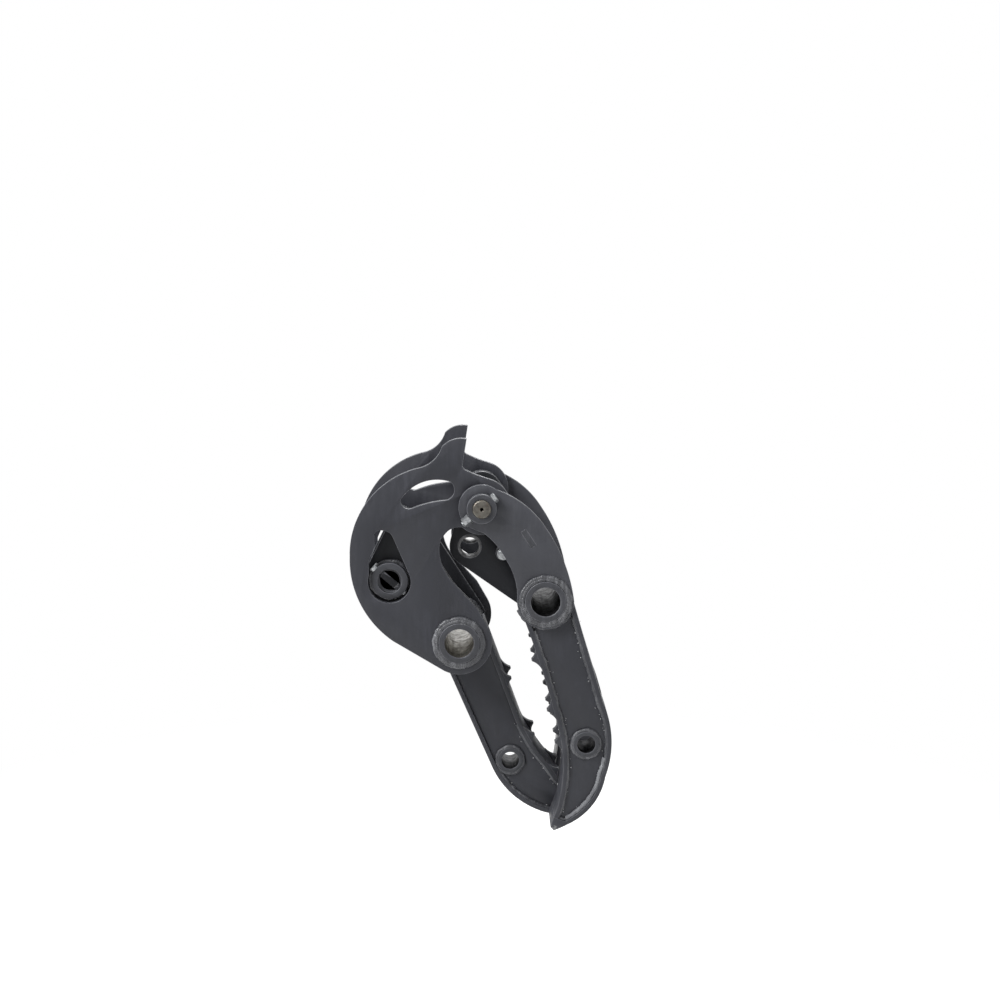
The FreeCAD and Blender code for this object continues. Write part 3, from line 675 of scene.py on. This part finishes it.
# Two passes where a main tube leaves a plate, and one where it passes an inner plate.
TUBE_PASSES = (Ring(48 * MM, 7.4 * MM), Ring(53.5 * MM, 6.2 * MM, 40))
INNER_RING = Ring(45.5 * MM, 7 * MM)
WEB_RING = Ring(45.4 * MM, 7 * MM)
CROSS_RING = Ring(31 * MM, 5.6 * MM)
COLLAR_RING = Ring(40.3 * MM, 6 * MM)
HUB_RING = Ring(38.3 * MM, 6 * MM)
BOSS_RING = Ring(14.2 * MM, 3.5 * MM)


def faces_of(node: str, side: str) -> tuple[float, float]:
    """Return the y of a plate's outer face and of its inner face."""
    low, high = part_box(node)
    return (low.y, high.y) if side == "near" else (high.y, low.y)


def seam_loop(node: str, outward: float) -> list[Vector]:
    """Return the outer boundary of a plate's flat face.

    Args:
        node: the CAD node of the plate.
        outward: -1 for the face that looks to the near side, +1 for the far side.
    Returns:
        The boundary's points in order.
    """
    work = rough_copy(node)
    links: dict[int, list[int]] = {}
    for edge in work.edges:
        # an edge between the flat face and the wall that stands on it
        flat = [f for f in edge.link_faces if f.normal.y * outward > 0.9]
        wall = [f for f in edge.link_faces if abs(f.normal.y) < 0.5]
        if flat and wall:
            first, second = (v.index for v in edge.verts)
            links.setdefault(first, []).append(second)
            links.setdefault(second, []).append(first)
    work.verts.ensure_lookup_table()
    loops: list[list[Vector]] = []
    left = set(links)
    while left:
        here = min(left)
        chain = []
        while here is not None:
            left.discard(here)
            chain.append(here)
            here = next((n for n in links[here] if n in left), None)
        loops.append([work.verts[k].co.copy() for k in chain])
    work.free()

    def length(loop: list[Vector]) -> float:
        """Length along a loop's points."""
        return sum((a - b).length for a, b in zip(loop, loop[1:]))
    return max(loops, key=length)


def part_of(loop: list[Vector], keep: Callable[[Vector], bool]) -> list[list[Vector]]:
    """Cut a closed loop to the stretches whose points are kept.

    Args:
        loop: the points in order.
        keep: says whether a point is kept.
    Returns:
        The stretches, each of two points or more.
    """
    flags = [keep(p) for p in loop]
    if all(flags):
        return [loop + loop[:1]]
    start = flags.index(False)
    stretches: list[list[Vector]] = [[]]
    for k in range(1, len(loop) + 1):
        index = (start + k) % len(loop)
        if flags[index]:
            stretches[-1].append(loop[index])
        elif stretches[-1]:
            stretches.append([])
    return [s for s in stretches if len(s) > 1]


class Lay(Enum):
    """What a welder leaves along a run, by the name of its node tree."""

    BEAD = "weld_ripples"
    SPATTER = "spatter_dots"


@dataclass
class Welder:
    """Lays rippled beads and spatter along runs, by Geometry Nodes."""

    ripple: float = 4.3 * MM       # length of one ripple along the run
    unevenness: float = 0.16
    step: float = 1.1 * MM         # between the rings of a bead's mesh
    lump: float = 12.0             # mm between the slow swellings of a bead
    weave: float = 5 * MM          # how far the torch wanders to the sides
    weave_length: float = 17.0     # mm of run for each wander
    grit: float = 2.6              # mm between the fine bumps of its skin
    grit_height: float = 0.9 * MM
    seed: int = 7
    spatter_reach: float = 10 * MM
    spatter_size: float = 1.4 * MM
    spatter_step: float = 6 * MM   # of run for each dot

    def tree(self, kind: Lay) -> Tree:
        """Build the node tree that turns runs into beads, or into spatter beside them.

        Args:
            kind: what the tree makes.
        Returns:
            The geometry node tree.
        """
        tree = bpy.data.node_groups.new(kind.value, "GeometryNodeTree")
        sockets = (("Runs", "Geometry", None), ("Ripple Pitch", "Float", self.ripple),
                   ("Unevenness", "Float", self.unevenness), ("Seed", "Int", self.seed),
                   ("Reach", "Float", self.spatter_reach), ("Dot Size", "Float", self.spatter_size),
                   ("Step", "Float", self.step), ("Finish", "Material", None))
        for label, socket_kind, value in sockets:
            socket = tree.interface.new_socket(label, in_out="INPUT",
                                               socket_type="NodeSocket" + socket_kind)
            if value is not None:
                socket.default_value = value
        tree.interface.new_socket("Beads", in_out="OUTPUT", socket_type="NodeSocketGeometry")
        given = add_node(tree, "NodeGroupInput").outputs
        line = add_node(tree, "GeometryNodeResampleCurve", {
            "Curve": given["Runs"], "Length": given["Step"]}, mode="LENGTH")
        shape = self.dots if kind is Lay.SPATTER else self.beads
        real = add_node(tree, "GeometryNodeRealizeInstances", {0: shape(tree, given, line)})
        smooth = add_node(tree, "GeometryNodeSetShadeSmooth", {0: real})
        coated = add_node(tree, "GeometryNodeSetMaterial", {
            "Geometry": smooth, "Material": given["Finish"]})
        add_node(tree, "NodeGroupOutput", {0: coated})
        return tree

    @staticmethod
    def dots(tree: Tree, given: Outputs, line: Node) -> Node:
        """Scatter drops of uneven size beside the line.

        Args:
            tree: the tree to add to.
            given: the tree's inputs.
            line: the runs, as points.
        Returns:
            The node that gives the drops.
        """
        tangent = add_node(tree, "GeometryNodeInputTangent")
        turn = add_node(tree, "FunctionNodeAlignRotationToVector", {"Vector": tangent}, axis="X",
                        pivot_axis="Y")
        spread = add_node(tree, "FunctionNodeRandomValue", {
            "Min": (-1.0, 0.0, -1.0), "Max": (1.0, 0.0, 1.0), "Seed": given["Seed"]},
            data_type="FLOAT_VECTOR")
        offset = add_node(tree, VECTOR, {0: spread, 3: given["Reach"]}, operation="SCALE")
        chance = add_node(tree, "FunctionNodeRandomValue", {
            "Min": 0.15, "Max": 1.0, "Seed": given["Seed"]}, data_type="FLOAT")
        dot = add_node(tree, MATH, {0: chance, 1: given["Dot Size"]}, operation="MULTIPLY")
        size = add_node(tree, "ShaderNodeCombineXYZ", {0: dot, 1: dot, 2: dot})
        drop = add_node(tree, "GeometryNodeMeshIcoSphere", {"Radius": 1.0, "Subdivisions": 1})
        moved = add_node(tree, "GeometryNodeSetPosition", {"Geometry": line, "Offset": offset})
        return add_node(tree, "GeometryNodeInstanceOnPoints", {
            "Points": moved, "Instance": drop, "Rotation": turn, "Scale": size})

    def beads(self, tree: Tree, given: Outputs, line: Node) -> Node:
        """Sweep a bead along the line, with ripples, slow lumps and a rough skin.

        Args:
            tree: the tree to add to.
            given: the tree's inputs.
            line: the runs, whose radius is the bead's.
        Returns:
            The node that gives the beads.
        """
        # a saw-tooth along the run for the ripples, and slow lumps over it
        along = add_node(tree, "GeometryNodeSplineParameter").outputs["Length"]
        count = add_node(tree, MATH, {0: along, 1: given["Ripple Pitch"]}, operation="DIVIDE")
        saw = add_node(tree, MATH, {0: count}, operation="FRACT")
        low = add_node(tree, MATH, {0: 1.0, 1: given["Unevenness"]}, operation="SUBTRACT")
        rippled = add_node(tree, MATH, {0: saw, 1: given["Unevenness"], 2: low},
                           operation="MULTIPLY_ADD")
        lumps = add_node(tree, NOISE, {"Scale": per_mm(self.lump), "Detail": 2.0})
        swell = add_node(tree, MATH, {0: lumps, 1: 0.9, 2: 0.55}, operation="MULTIPLY_ADD")
        share = add_node(tree, MATH, {0: rippled, 1: swell}, operation="MULTIPLY")
        radius = add_node(tree, "GeometryNodeInputRadius")
        wide = add_node(tree, MATH, {0: radius, 1: share}, operation="MULTIPLY")
        wobble = add_node(tree, NOISE, {"Scale": per_mm(self.weave_length), "Detail": 1.0})
        centred = add_node(tree, VECTOR, {0: wobble.outputs["Color"], 1: (0.5, 0.5, 0.5)},
                           operation="SUBTRACT")
        sideways = add_node(tree, VECTOR, {0: centred, 1: (self.weave, 0.0, self.weave)},
                            operation="MULTIPLY")
        woven = add_node(tree, "GeometryNodeSetPosition", {"Geometry": line, "Offset": sideways})
        sized = add_node(tree, "GeometryNodeSetCurveRadius", {"Curve": woven, "Radius": wide})
        section = add_node(tree, "GeometryNodeCurvePrimitiveCircle", {
            "Resolution": 10, "Radius": 1.0})
        swept = add_node(tree, "GeometryNodeCurveToMesh", {
            "Curve": sized, "Profile Curve": section, "Scale": radius, "Fill Caps": True})
        skin = add_node(tree, NOISE, {"Scale": per_mm(self.grit), "Detail": 2.0})
        rough = add_node(tree, VECTOR, {0: skin.outputs["Color"], 1: (0.5, 0.5, 0.5)},
                         operation="SUBTRACT")
        shake = add_node(tree, VECTOR, {0: rough, 3: self.grit_height}, operation="SCALE")
        return add_node(tree, "GeometryNodeSetPosition", {"Geometry": swept, "Offset": shake})

    def lay(self, name: str, runs: Iterable[Run], body: str, kind: Lay = Lay.BEAD,
            finish: Finish = WELD_ENAMEL) -> bpy.types.Object:
        """Lay beads or spatter along runs, as one piece of a body.

        Args:
            name: the piece's name.
            runs: the runs to follow.
            body: the body that they ride on.
            kind: beads, or dots beside the runs.
            finish: the finish of what is laid.
        Returns:
            The new object.
        """
        curve = bpy.data.curves.new(name, "CURVE")
        curve.dimensions = "3D"
        for run in runs:
            spline = curve.splines.new("POLY")
            spline.points.add(len(run.points) - 1)
            spline.use_cyclic_u = run.closed
            for point, place in zip(spline.points, run.points):
                point.co = (*place, 1.0)
                point.radius = run.width
        source = bpy.data.objects.new(name + "_line", curve)
        bpy.context.scene.collection.objects.link(source)
        tree = self.tree(kind)
        modifier = source.modifiers.new("bead", "NODES")
        modifier.node_group = tree
        keys = {s.name: s.identifier for s in tree.interface.items_tree if s.in_out == "INPUT"}
        modifier[keys["Finish"]] = finish.material()
        modifier[keys["Seed"]] = self.seed + len(name)
        if kind is Lay.SPATTER:
            modifier[keys["Step"]] = self.spatter_step
        mesh = baked(source)
        work = bmesh.new()
        work.from_mesh(mesh)
        if work.calc_volume(signed=True) < 0:
            bmesh.ops.reverse_faces(work, faces=work.faces)
        work.to_mesh(mesh)
        work.free()
        return new_piece(name, mesh, body)


# ---------------------------------------------------------------- fasteners
@dataclass
class Hexagon:
    """A chamfered hexagon head or nut, turned about an axis."""

    across_flats: float = 19 * MM
    thread: float = 12 * MM
    pitch: float = 1.75 * MM
    chamfer_slope: float = 1.9     # radius taken off the corners per unit of height
    turned: float = 0.96           # radius of the chamfer's small end, to that of the flats
    steps: int = 48
    thread_depth: float = 0.9 * MM
    thread_steps: int = 24

    def solid(self, work: bmesh.types.BMesh, base: Vector, axis: Vector, height: float,
              both_ends: bool = False) -> None:
        """Add a hexagon with its corners turned off.

        Args:
            work: the mesh to add to.
            base: centre of its seat.
            axis: direction away from the seat.
            height: its height.
            both_ends: True for a nut, whose seat is chamfered too.
        """
        flat = self.across_flats / 2
        corner = flat / math.cos(math.pi / 6)
        taken = corner - flat * self.turned
        drop = taken / self.chamfer_slope
        tops = [(height - drop * (1 - t), corner - taken * t)
                for t in (0.0, 0.35, 0.7, 1.0)]
        foot = [(height - z, r) for z, r in reversed(tops)] if both_ends else [(0.0, corner)]
        rings = []
        for level, limit in foot + tops:
            ring = []
            for k in range(self.steps):
                angle = 2 * math.pi * k / self.steps
                side = flat / math.cos((angle + math.pi / 6) % (math.pi / 3) - math.pi / 6)
                ring.append((min(side, limit), angle, level))
            rings.append(ring)
        self.skin(work, rings, base, axis)

    def threaded_end(self, work: bmesh.types.BMesh, base: Vector, axis: Vector,
                     length: float) -> None:
        """Add the threaded end of a bolt, with a bevelled point.

        Args:
            work: the mesh to add to.
            base: centre of its root.
            axis: direction towards its point.
            length: its length.
        """
        crest, root = self.thread / 2, self.thread / 2 - self.thread_depth
        profile = [(0.0, root)]
        place = self.pitch / 2
        while place + self.pitch < length:
            profile += [(place, root), (place + self.pitch * 0.4, crest),
                        (place + self.pitch * 0.6, crest)]
            place += self.pitch
        profile += [(length - 0.8 * MM, root + 0.2 * MM), (length, root - 0.6 * MM)]
        rings = [[(r, 2 * math.pi * k / self.thread_steps, z) for k in range(self.thread_steps)]
                 for z, r in profile]
        self.skin(work, rings, base, axis)

    @staticmethod
    def skin(work: bmesh.types.BMesh, rings: list[list[tuple[float, float, float]]], base: Vector,
             axis: Vector) -> None:
        """Skin rings of (radius, angle, height) about an axis, and close both ends.

        Args:
            work: the mesh to add to.
            rings: the rings, from the base up.
            base: the place of height 0.
            axis: the axis.
        """
        side = axis.orthogonal().normalized()
        up = axis.cross(side)
        made = [[work.verts.new(base + axis * z + (side * math.cos(a) + up * math.sin(a)) * r)
                 for r, a, z in ring] for ring in rings]
        for lower, upper in zip(made, made[1:]):
            for k in range(len(lower)):
                nxt = (k + 1) % len(lower)
                work.faces.new((lower[k], lower[nxt], upper[nxt], upper[k]))
        work.faces.new(made[0][::-1])
        work.faces.new(made[-1])


def fastener_mesh(name: str, work: bmesh.types.BMesh, finish: Finish) -> bpy.types.Mesh:
    """Turn a fastener's mesh work into a smooth-sided mesh with one finish.

    Args:
        name: the mesh's name.
        work: the mesh work, which is freed.
        finish: its finish.
    Returns:
        The mesh.
    """
    bmesh.ops.recalc_face_normals(work, faces=work.faces)
    for face in work.faces:
        face.smooth = True
    for edge in work.edges:
        edge.smooth = edge.calc_face_angle(0.0) < CREASE_ANGLE
    mesh = bpy.data.meshes.new(name)
    work.to_mesh(mesh)
    work.free()
    mesh.materials.append(finish.material())
    return mesh


# ---------------------------------------------------------------- sub-assemblies
@dataclass
class ArmJaw:
    """The plates, tube and bushes of the jaw that hangs on the machine's arm."""

    body: str = "arm_jaw"
    plate_bead: float = 5 * MM
    plate_end: float = 62 * MM       # radius of the outer plate round the main tube
    plate_sweep: tuple[float, float] = (-160.0, 135.0)   # where its lap weld starts, and how far
    bore: float = 33 * MM

    def make(self) -> None:
        """Dress every piece of the jaw's head."""
        for side in SIDES:
            # the inner ears' near-black coat is painted shade
            # the outer plates' lighter coat is painted light
            for part, slot, finish in (("arm_jaw_outer_plate_", Slot.PLATE, OUTER_ENAMEL_PAINTED_LIGHT),
                                       ("arm_jaw_inner_ear_", Slot.PLATE, INNER_ENAMEL_PAINTED_SHADE),
                                       ("stop_block_", Slot.MACHINED, TUBE_ENAMEL)):
                SteelPiece(part + side, slot, finish).make()
            SteelPiece.bare("arm_pin_bush_" + side, Slot.BUSH, BUSH_STEEL, 0.6 * MM).make()
        tube = axis_of("arm_jaw_main_tube")
        SteelPiece("arm_jaw_main_tube", Slot.TUBE, TUBE_ENAMEL,
                   edge_break=1.4 * MM, bores=(Bore(*tube, self.bore),)).make()

    def welds(self) -> list[Run]:
        """Rings round the main tube, and the lap weld at each outer plate's end.

        Returns:
            The runs.
        """
        tube = axis_of("arm_jaw_main_tube")
        runs = []
        for side in SIDES:
            outer, inner = faces_of("arm_jaw_outer_plate_" + side, side)
            runs += [ring.at(tube, outer) for ring in TUBE_PASSES]
            runs.append(Run.ring(*tube, self.plate_end, inner, self.plate_bead,
                                 *self.plate_sweep))
            runs.append(INNER_RING.at(tube, faces_of("arm_jaw_inner_ear_" + side, side)[0]))
        return runs


@dataclass
class CylinderJaw:
    """The discs, ears, collars, hubs and tube of the jaw that the cylinder drives."""

    body: str = "cylinder_jaw"
    collar_bore: float = 27 * MM
    bore: float = 33 * MM

    def make(self) -> None:
        """Dress every piece of the jaw's head."""
        for side in SIDES:
            SteelPiece("cylinder_jaw_disc_" + side, Slot.PLATE, PLATE_ENAMEL).make()
            # the ears' near-black coat is painted shade
            SteelPiece("cylinder_ear_" + side, Slot.PLATE, INNER_ENAMEL_PAINTED_SHADE).make()
            collar = "cylinder_pin_collar_" + side
            SteelPiece(collar, Slot.TUBE, TUBE_ENAMEL, edge_break=1.2 * MM,
                       bores=(Bore(*axis_of(collar), self.collar_bore),)).make()
            SteelPiece.bare("cylinder_pin_bolt_" + side, Slot.ZINC, ZINC, 0.4 * MM).make()
            SteelPiece("hinge_hub_" + side, Slot.TUBE, TUBE_ENAMEL).make()
            SteelPiece.bare("hinge_bush_" + side, Slot.BRONZE, BRONZE, 0.5 * MM).make()
        tube = axis_of("cylinder_jaw_main_tube")
        SteelPiece("cylinder_jaw_main_tube", Slot.TUBE, TUBE_ENAMEL, CUT_EDGE_PAINTED_HIGHLIGHT, BORED_STEEL,
                   edge_break=1.4 * MM, bores=(Bore(*tube, self.bore),)).make()

    def welds(self) -> list[Run]:
        """Rings round the main tube, the pin collars and the hinge hubs.

        Returns:
            The runs.
        """
        tube = axis_of("cylinder_jaw_main_tube")
        runs = []
        for side in SIDES:
            outer, inner = faces_of("cylinder_jaw_disc_" + side, side)
            ear_out, ear_in = faces_of("cylinder_ear_" + side, side)
            runs += [ring.at(tube, outer) for ring in TUBE_PASSES]
            runs += [INNER_RING.at(tube, y) for y in (inner, ear_out, ear_in)]
            runs.append(COLLAR_RING.at(axis_of("cylinder_pin_collar_" + side), ear_out))
            runs.append(HUB_RING.at(axis_of("hinge_hub_" + side), inner))
        return runs


@dataclass
class BoxTine:
    """A box tine: its webs, flanges, teeth, point and cross tube, and the welds between them."""

    prefix: str
    suffix: str
    body: str
    root: str                         # node of the main tube
    webs: dict[str, float]            # web node to the side its open face looks to
    seam_bead: float = 5.6 * MM
    root_reach: float = 66 * MM       # no seam nearer than this to the main tube's axis
    cross_bore: float = 21 * MM
    tooth_height: float = 17 * MM
    point_reach: float = 60 * MM
    ground_bead: float = 6.4 * MM
    ground_start: float = 28 * MM     # below the cross tube
    ground_inset: float = 2 * MM      # from the seam towards the web

    def name(self, part: str) -> str:
        """Node name of one of the tine's parts."""
        return f"{self.prefix}_{part}{self.suffix}"

    def make(self) -> None:
        """Dress every piece of the tine."""
        seat = distance_to(self.name("grip_flange"))
        # the end of the point, low and far out, where the coat goes first
        corners = [v.co for v in frame["nodes"][self.name("tip")].data.vertices]
        end = min(corners, key=lambda co: co.z - 0.4 * abs(co.x)).copy()
        end.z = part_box(self.name("tip"))[0].z

        def point_wear(place: Vector) -> float:
            """Wear that fades with the distance from the end of the point."""
            away = (Vector((place.x, end.y, place.z)) - end).length
            return max(0.0, 1.0 - away / self.point_reach)

        for web in self.webs:
            SteelPiece(web, Slot.PLATE, PLATE_ENAMEL).make()
        # the corners of the flanges, tip and teeth carry a paler coat as painted highlight
        for part in ("back_flange", "grip_flange"):
            SteelPiece(self.name(part), Slot.WEAR, TINE_ENAMEL, TINE_EDGE_PAINTED_HIGHLIGHT, wear=point_wear).make()
        SteelPiece(self.name("tip"), Slot.WEAR, TINE_ENAMEL, TINE_EDGE_PAINTED_HIGHLIGHT, edge_break=1.2 * MM,
                   wear=point_wear).make()
        SteelPiece(self.name("teeth"), Slot.WEAR, TINE_ENAMEL, TINE_EDGE_PAINTED_HIGHLIGHT, edge_break=0.7 * MM,
                   wear=lambda place: min(1.0, seat(place) / self.tooth_height)).make()
        tube = self.name("cross_tube")
        SteelPiece(tube, Slot.TUBE, TUBE_ENAMEL,
                   bores=(Bore(*axis_of(tube), self.cross_bore),)).make()

    def welds(self) -> list[Run]:
        """Seams where the webs meet the flanges, and rings round both tubes.

        Returns:
            The runs.
        """
        root = Vector((axis_of(self.root)[0], 0, axis_of(self.root)[1]))
        tube = axis_of(self.name("cross_tube"))
        down = (Vector((tube[0], 0, tube[1])) - root).normalized()
        runs = []
        for web, outward in self.webs.items():
            loop = seam_loop(web, outward)
            y = loop[0].y

            def beyond(place: Vector) -> bool:
                """Say whether a place is on the tine and clear of the main tube."""
                flat = Vector((place.x, 0, place.z)) - root
                return flat.dot(down) > 0 and flat.length > self.root_reach

            runs += [Run(points, self.seam_bead) for points in part_of(loop, beyond)]
            runs.append(CROSS_RING.at(tube, y))
            if self.prefix == "driven_tine" or web.startswith("arm_tine_inner"):
                runs.append(WEB_RING.at((root.x, root.z), y))
        return runs


    def ground_runs(self) -> list[Run]:
        """The back seam of the outer web below the cross tube, ground after welding.

        Returns:
            The runs.
        """
        tube_x, tube_z = axis_of(self.name("cross_tube"))
        web, outward = next(iter(self.webs.items()))
        loop = seam_loop(web, outward)
        inwards = Vector((-self.ground_inset, 0, self.ground_inset))

        def on_back(place: Vector) -> bool:
            """Say whether a place is on the back's side, below the cross tube."""
            depth = tube_z - place.z
            return depth > self.ground_start and place.x - tube_x > -depth / 4
        return [Run([p + inwards for p in points], self.ground_bead)
                for points in part_of(loop, on_back)]


@dataclass
class Hinge:
    """The stub pins with their shims, retaining collars, bolts and locked nuts."""

    body: str = "arm_jaw"
    bolt_angle: float = 40.0          # degrees above the X axis
    head_height: float = 8 * MM
    nut_height: float = 9 * MM
    thread_end: float = 4 * MM
    hexagon: Hexagon = field(default_factory=Hexagon)

    def make(self) -> None:
        """Dress the pins and make the fasteners."""
        for side in SIDES:
            SteelPiece.bare("stub_pin_" + side, Slot.PIN, PIN_STEEL, 0.5 * MM).make()
            SteelPiece("hinge_shim_" + side, Slot.MACHINED, TUBE_ENAMEL,
                       edge_break=0.5 * MM).make()
            SteelPiece("stub_pin_collar_" + side, Slot.MACHINED, TUBE_ENAMEL,
                       edge_break=1.6 * MM, steps=3).make()
            self.bolt(side)

    def bolt(self, side: str) -> None:
        """Make the retaining collar's bolt and its pair of nuts.

        Args:
            side: near or far.
        """
        x, z = axis_of("stub_pin_collar_" + side)
        low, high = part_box("stub_pin_collar_" + side)
        centre = Vector((x, (low.y + high.y) / 2, z))
        angle = math.radians(self.bolt_angle)
        axis = Vector((math.cos(angle), 0, math.sin(angle)))
        reach = (high.x - low.x) / 2
        head = bmesh.new()
        self.hexagon.solid(head, centre + axis * reach, axis, self.head_height)
        self.hexagon.threaded_end(head, centre - axis * (reach + 2 * self.nut_height - MM), -axis,
                                  self.thread_end + MM)
        new_piece("finished_collar_bolt_" + side,
                  fastener_mesh("collar_bolt", head, ZINC), self.body,
                  ("collar_bolt_" + side,))
        nuts = bmesh.new()
        for place in (0, 1):
            self.hexagon.solid(nuts, centre - axis * (reach + place * self.nut_height), -axis,
                               self.nut_height, both_ends=True)
        new_piece("finished_collar_nuts_" + side,
                  fastener_mesh("collar_nuts", nuts, ZINC), self.body,
                  ("collar_nuts_" + side,))


@dataclass
class Keeper:
    """The threaded bosses beside the arm pin, with their bolts and washers."""

    body: str = "arm_jaw"
    head_height: float = 8 * MM
    washer: float = 4 * MM
    # radius and height of the washer's turned outline
    washer_outline: tuple[tuple[float, float], ...] = (
        (13.2 * MM, 0.0), (13.6 * MM, 0.5 * MM), (13.6 * MM, 3.4 * MM), (13.1 * MM, 3.9 * MM))
    washer_steps: int = 40
    hexagon: Hexagon = field(default_factory=Hexagon)

    def make(self) -> None:
        """Dress the bosses and make their bolts."""
        for side, sign in SIDES.items():
            boss = "keeper_boss_" + side
            SteelPiece(boss, Slot.MACHINED, TUBE_ENAMEL).make()
            x, z = axis_of(boss)
            face = faces_of(boss, side)[0]
            axis = Vector((0, sign, 0))
            work = bmesh.new()
            rings = [[(r, 2 * math.pi * k / self.washer_steps, h)
                      for k in range(self.washer_steps)] for r, h in self.washer_outline]
            Hexagon.skin(work, rings, Vector((x, face, z)), axis)
            self.hexagon.solid(work, Vector((x, face + sign * self.washer, z)), axis,
                               self.head_height)
            new_piece("finished_keeper_bolt_" + side,
                      fastener_mesh("keeper_bolt", work, ZINC), self.body,
                      ("keeper_bolt_" + side,))

    def welds(self) -> list[Run]:
        """A ring round each boss, on the plate that carries it."""
        return [BOSS_RING.at(axis_of("keeper_boss_" + side),
                             faces_of("keeper_boss_" + side, side)[1]) for side in SIDES]


# ---------------------------------------------------------------- studio
@dataclass
class Studio:
    """Camera, lamps, floor and backdrop."""

    floor_z: float = -1.16
    floor_size: float = 14.0
    camera_place: tuple[float, float, float] = (0.0274, -3.024, 0.5957)
    camera_dip: float = 9.53          # degrees below level
    camera_turn: float = -0.77
    lens: float = 49.07               # mm
    soft_level: float = 0.2           # of the world's light on the object
    aim: tuple[float, float, float] = (0.0, 0.0, -0.2)
    # name, place, size in metres and power in watts of each lamp
    lamps: tuple[tuple[str, tuple[float, float, float], float, float], ...] = (
        ("key", (-2.4, -1.5, 2.4), 1.8, 225), ("fill", (2.6, -2.0, 0.2), 2.4, 22),
        ("top", (0.2, 0.9, 2.8), 2.4, 75), ("rim", (0.4, 2.2, 2.6), 1.6, 150))

    def make(self) -> None:
        """Set up everything that isn't the object."""
        self.floor()
        self.world()
        for lamp in self.lamps:
            self.lamp(*lamp)
        self.camera()
        bpy.context.scene.view_settings.view_transform = "Standard"

    def floor(self) -> None:
        """Add the pale floor under the hanging grapple."""
        half = self.floor_size / 2
        mesh = bpy.data.meshes.new("floor")
        mesh.from_pydata([(-half, -half, self.floor_z), (half, -half, self.floor_z),
                          (half, half, self.floor_z), (-half, half, self.floor_z)], [],
                         [(0, 1, 2, 3)])
        mesh.materials.append(PaleGround("matt_pale_floor").material())
        floor = bpy.data.objects.new("floor", mesh)
        bpy.context.scene.collection.objects.link(floor)

    def world(self) -> None:
        """Show white to the camera and to reflections, and light the object more softly."""
        world = bpy.data.worlds.new("studio")
        bpy.context.scene.world = world
        world.use_nodes = True
        tree = world.node_tree
        tree.nodes.clear()
        rays = add_node(tree, "ShaderNodeLightPath").outputs
        seen = add_node(tree, MATH, {0: rays["Is Camera Ray"], 1: rays["Is Glossy Ray"]},
                        operation="MAXIMUM")
        seen = add_node(tree, MATH, {0: seen, 1: rays["Is Transmission Ray"]},
                        operation="MAXIMUM")
        soft, white = (add_node(tree, "ShaderNodeBackground", {
            "Color": linear("#ffffff"), "Strength": level}) for level in (self.soft_level, 1.0))
        mixed = add_node(tree, "ShaderNodeMixShader", {0: seen, 1: soft, 2: white})
        add_node(tree, "ShaderNodeOutputWorld", {"Surface": mixed})

    def lamp(self, name: str, place: tuple[float, float, float], size: float,
             power: float) -> None:
        """Add a square soft lamp aimed at the middle of the grapple.

        Args:
            name: the lamp's name.
            place: where it stands.
            size: its side in metres.
            power: its power in watts.
        """
        light = bpy.data.lights.new(name, "AREA")
        light.size = size
        light.energy = power
        lamp = bpy.data.objects.new(name, light)
        lamp.location = place
        towards = Vector(self.aim) - Vector(place)
        lamp.rotation_euler = towards.to_track_quat("-Z", "Y").to_euler()
        bpy.context.scene.collection.objects.link(lamp)

    def camera(self) -> None:
        """Add the camera at the object's usual catalogue angle."""
        data = bpy.data.cameras.new("camera")
        data.lens = self.lens
        camera = bpy.data.objects.new("camera", data)
        camera.location = self.camera_place
        camera.rotation_euler = (math.radians(90 - self.camera_dip), 0,
                                 math.radians(self.camera_turn))
        bpy.context.scene.collection.objects.link(camera)
        bpy.context.scene.camera = camera


def main() -> None:
    """Build the grapple's pieces in order."""
    logging.basicConfig(level=logging.INFO, format="%(name)s %(message)s")
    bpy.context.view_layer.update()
    arm, driven = ArmJaw(), CylinderJaw()
    hinge, keeper = Hinge(), Keeper()
    tines = [BoxTine("driven_tine", "", "cylinder_jaw", "cylinder_jaw_main_tube",
                     {"driven_tine_web_near": -1, "driven_tine_web_far": 1},
                     root_reach=50 * MM)]
    for side, out in SIDES.items():
        tines.append(BoxTine("arm_tine", "_" + side, "arm_jaw", "arm_jaw_main_tube",
                             {f"arm_tine_outer_web_{side}": out,
                              f"arm_tine_inner_web_{side}": -out}))
    for assembly in (arm, driven, hinge, keeper, *tines):
        assembly.make()
        LOG.info("%s done", type(assembly).__name__)
    welder = Welder()
    welder.lay("arm_jaw_ring_welds", arm.welds() + keeper.welds(), arm.body)
    welder.lay("cylinder_jaw_ring_welds", driven.welds(), driven.body)
    for tine in tines:
        runs = tine.welds()
        label = tine.prefix + tine.suffix
        if tine.suffix:
            welder.lay(label + "_ground_weld", tine.ground_runs(), tine.body, finish=GROUND_WELD)
        welder.lay(label + "_welds", runs, tine.body)
        welder.lay(label + "_spatter", [r for r in runs if not r.closed], tine.body,
                   Lay.SPATTER, SPATTER)
    Studio().make()


if __name__ == "__main__":
    main()
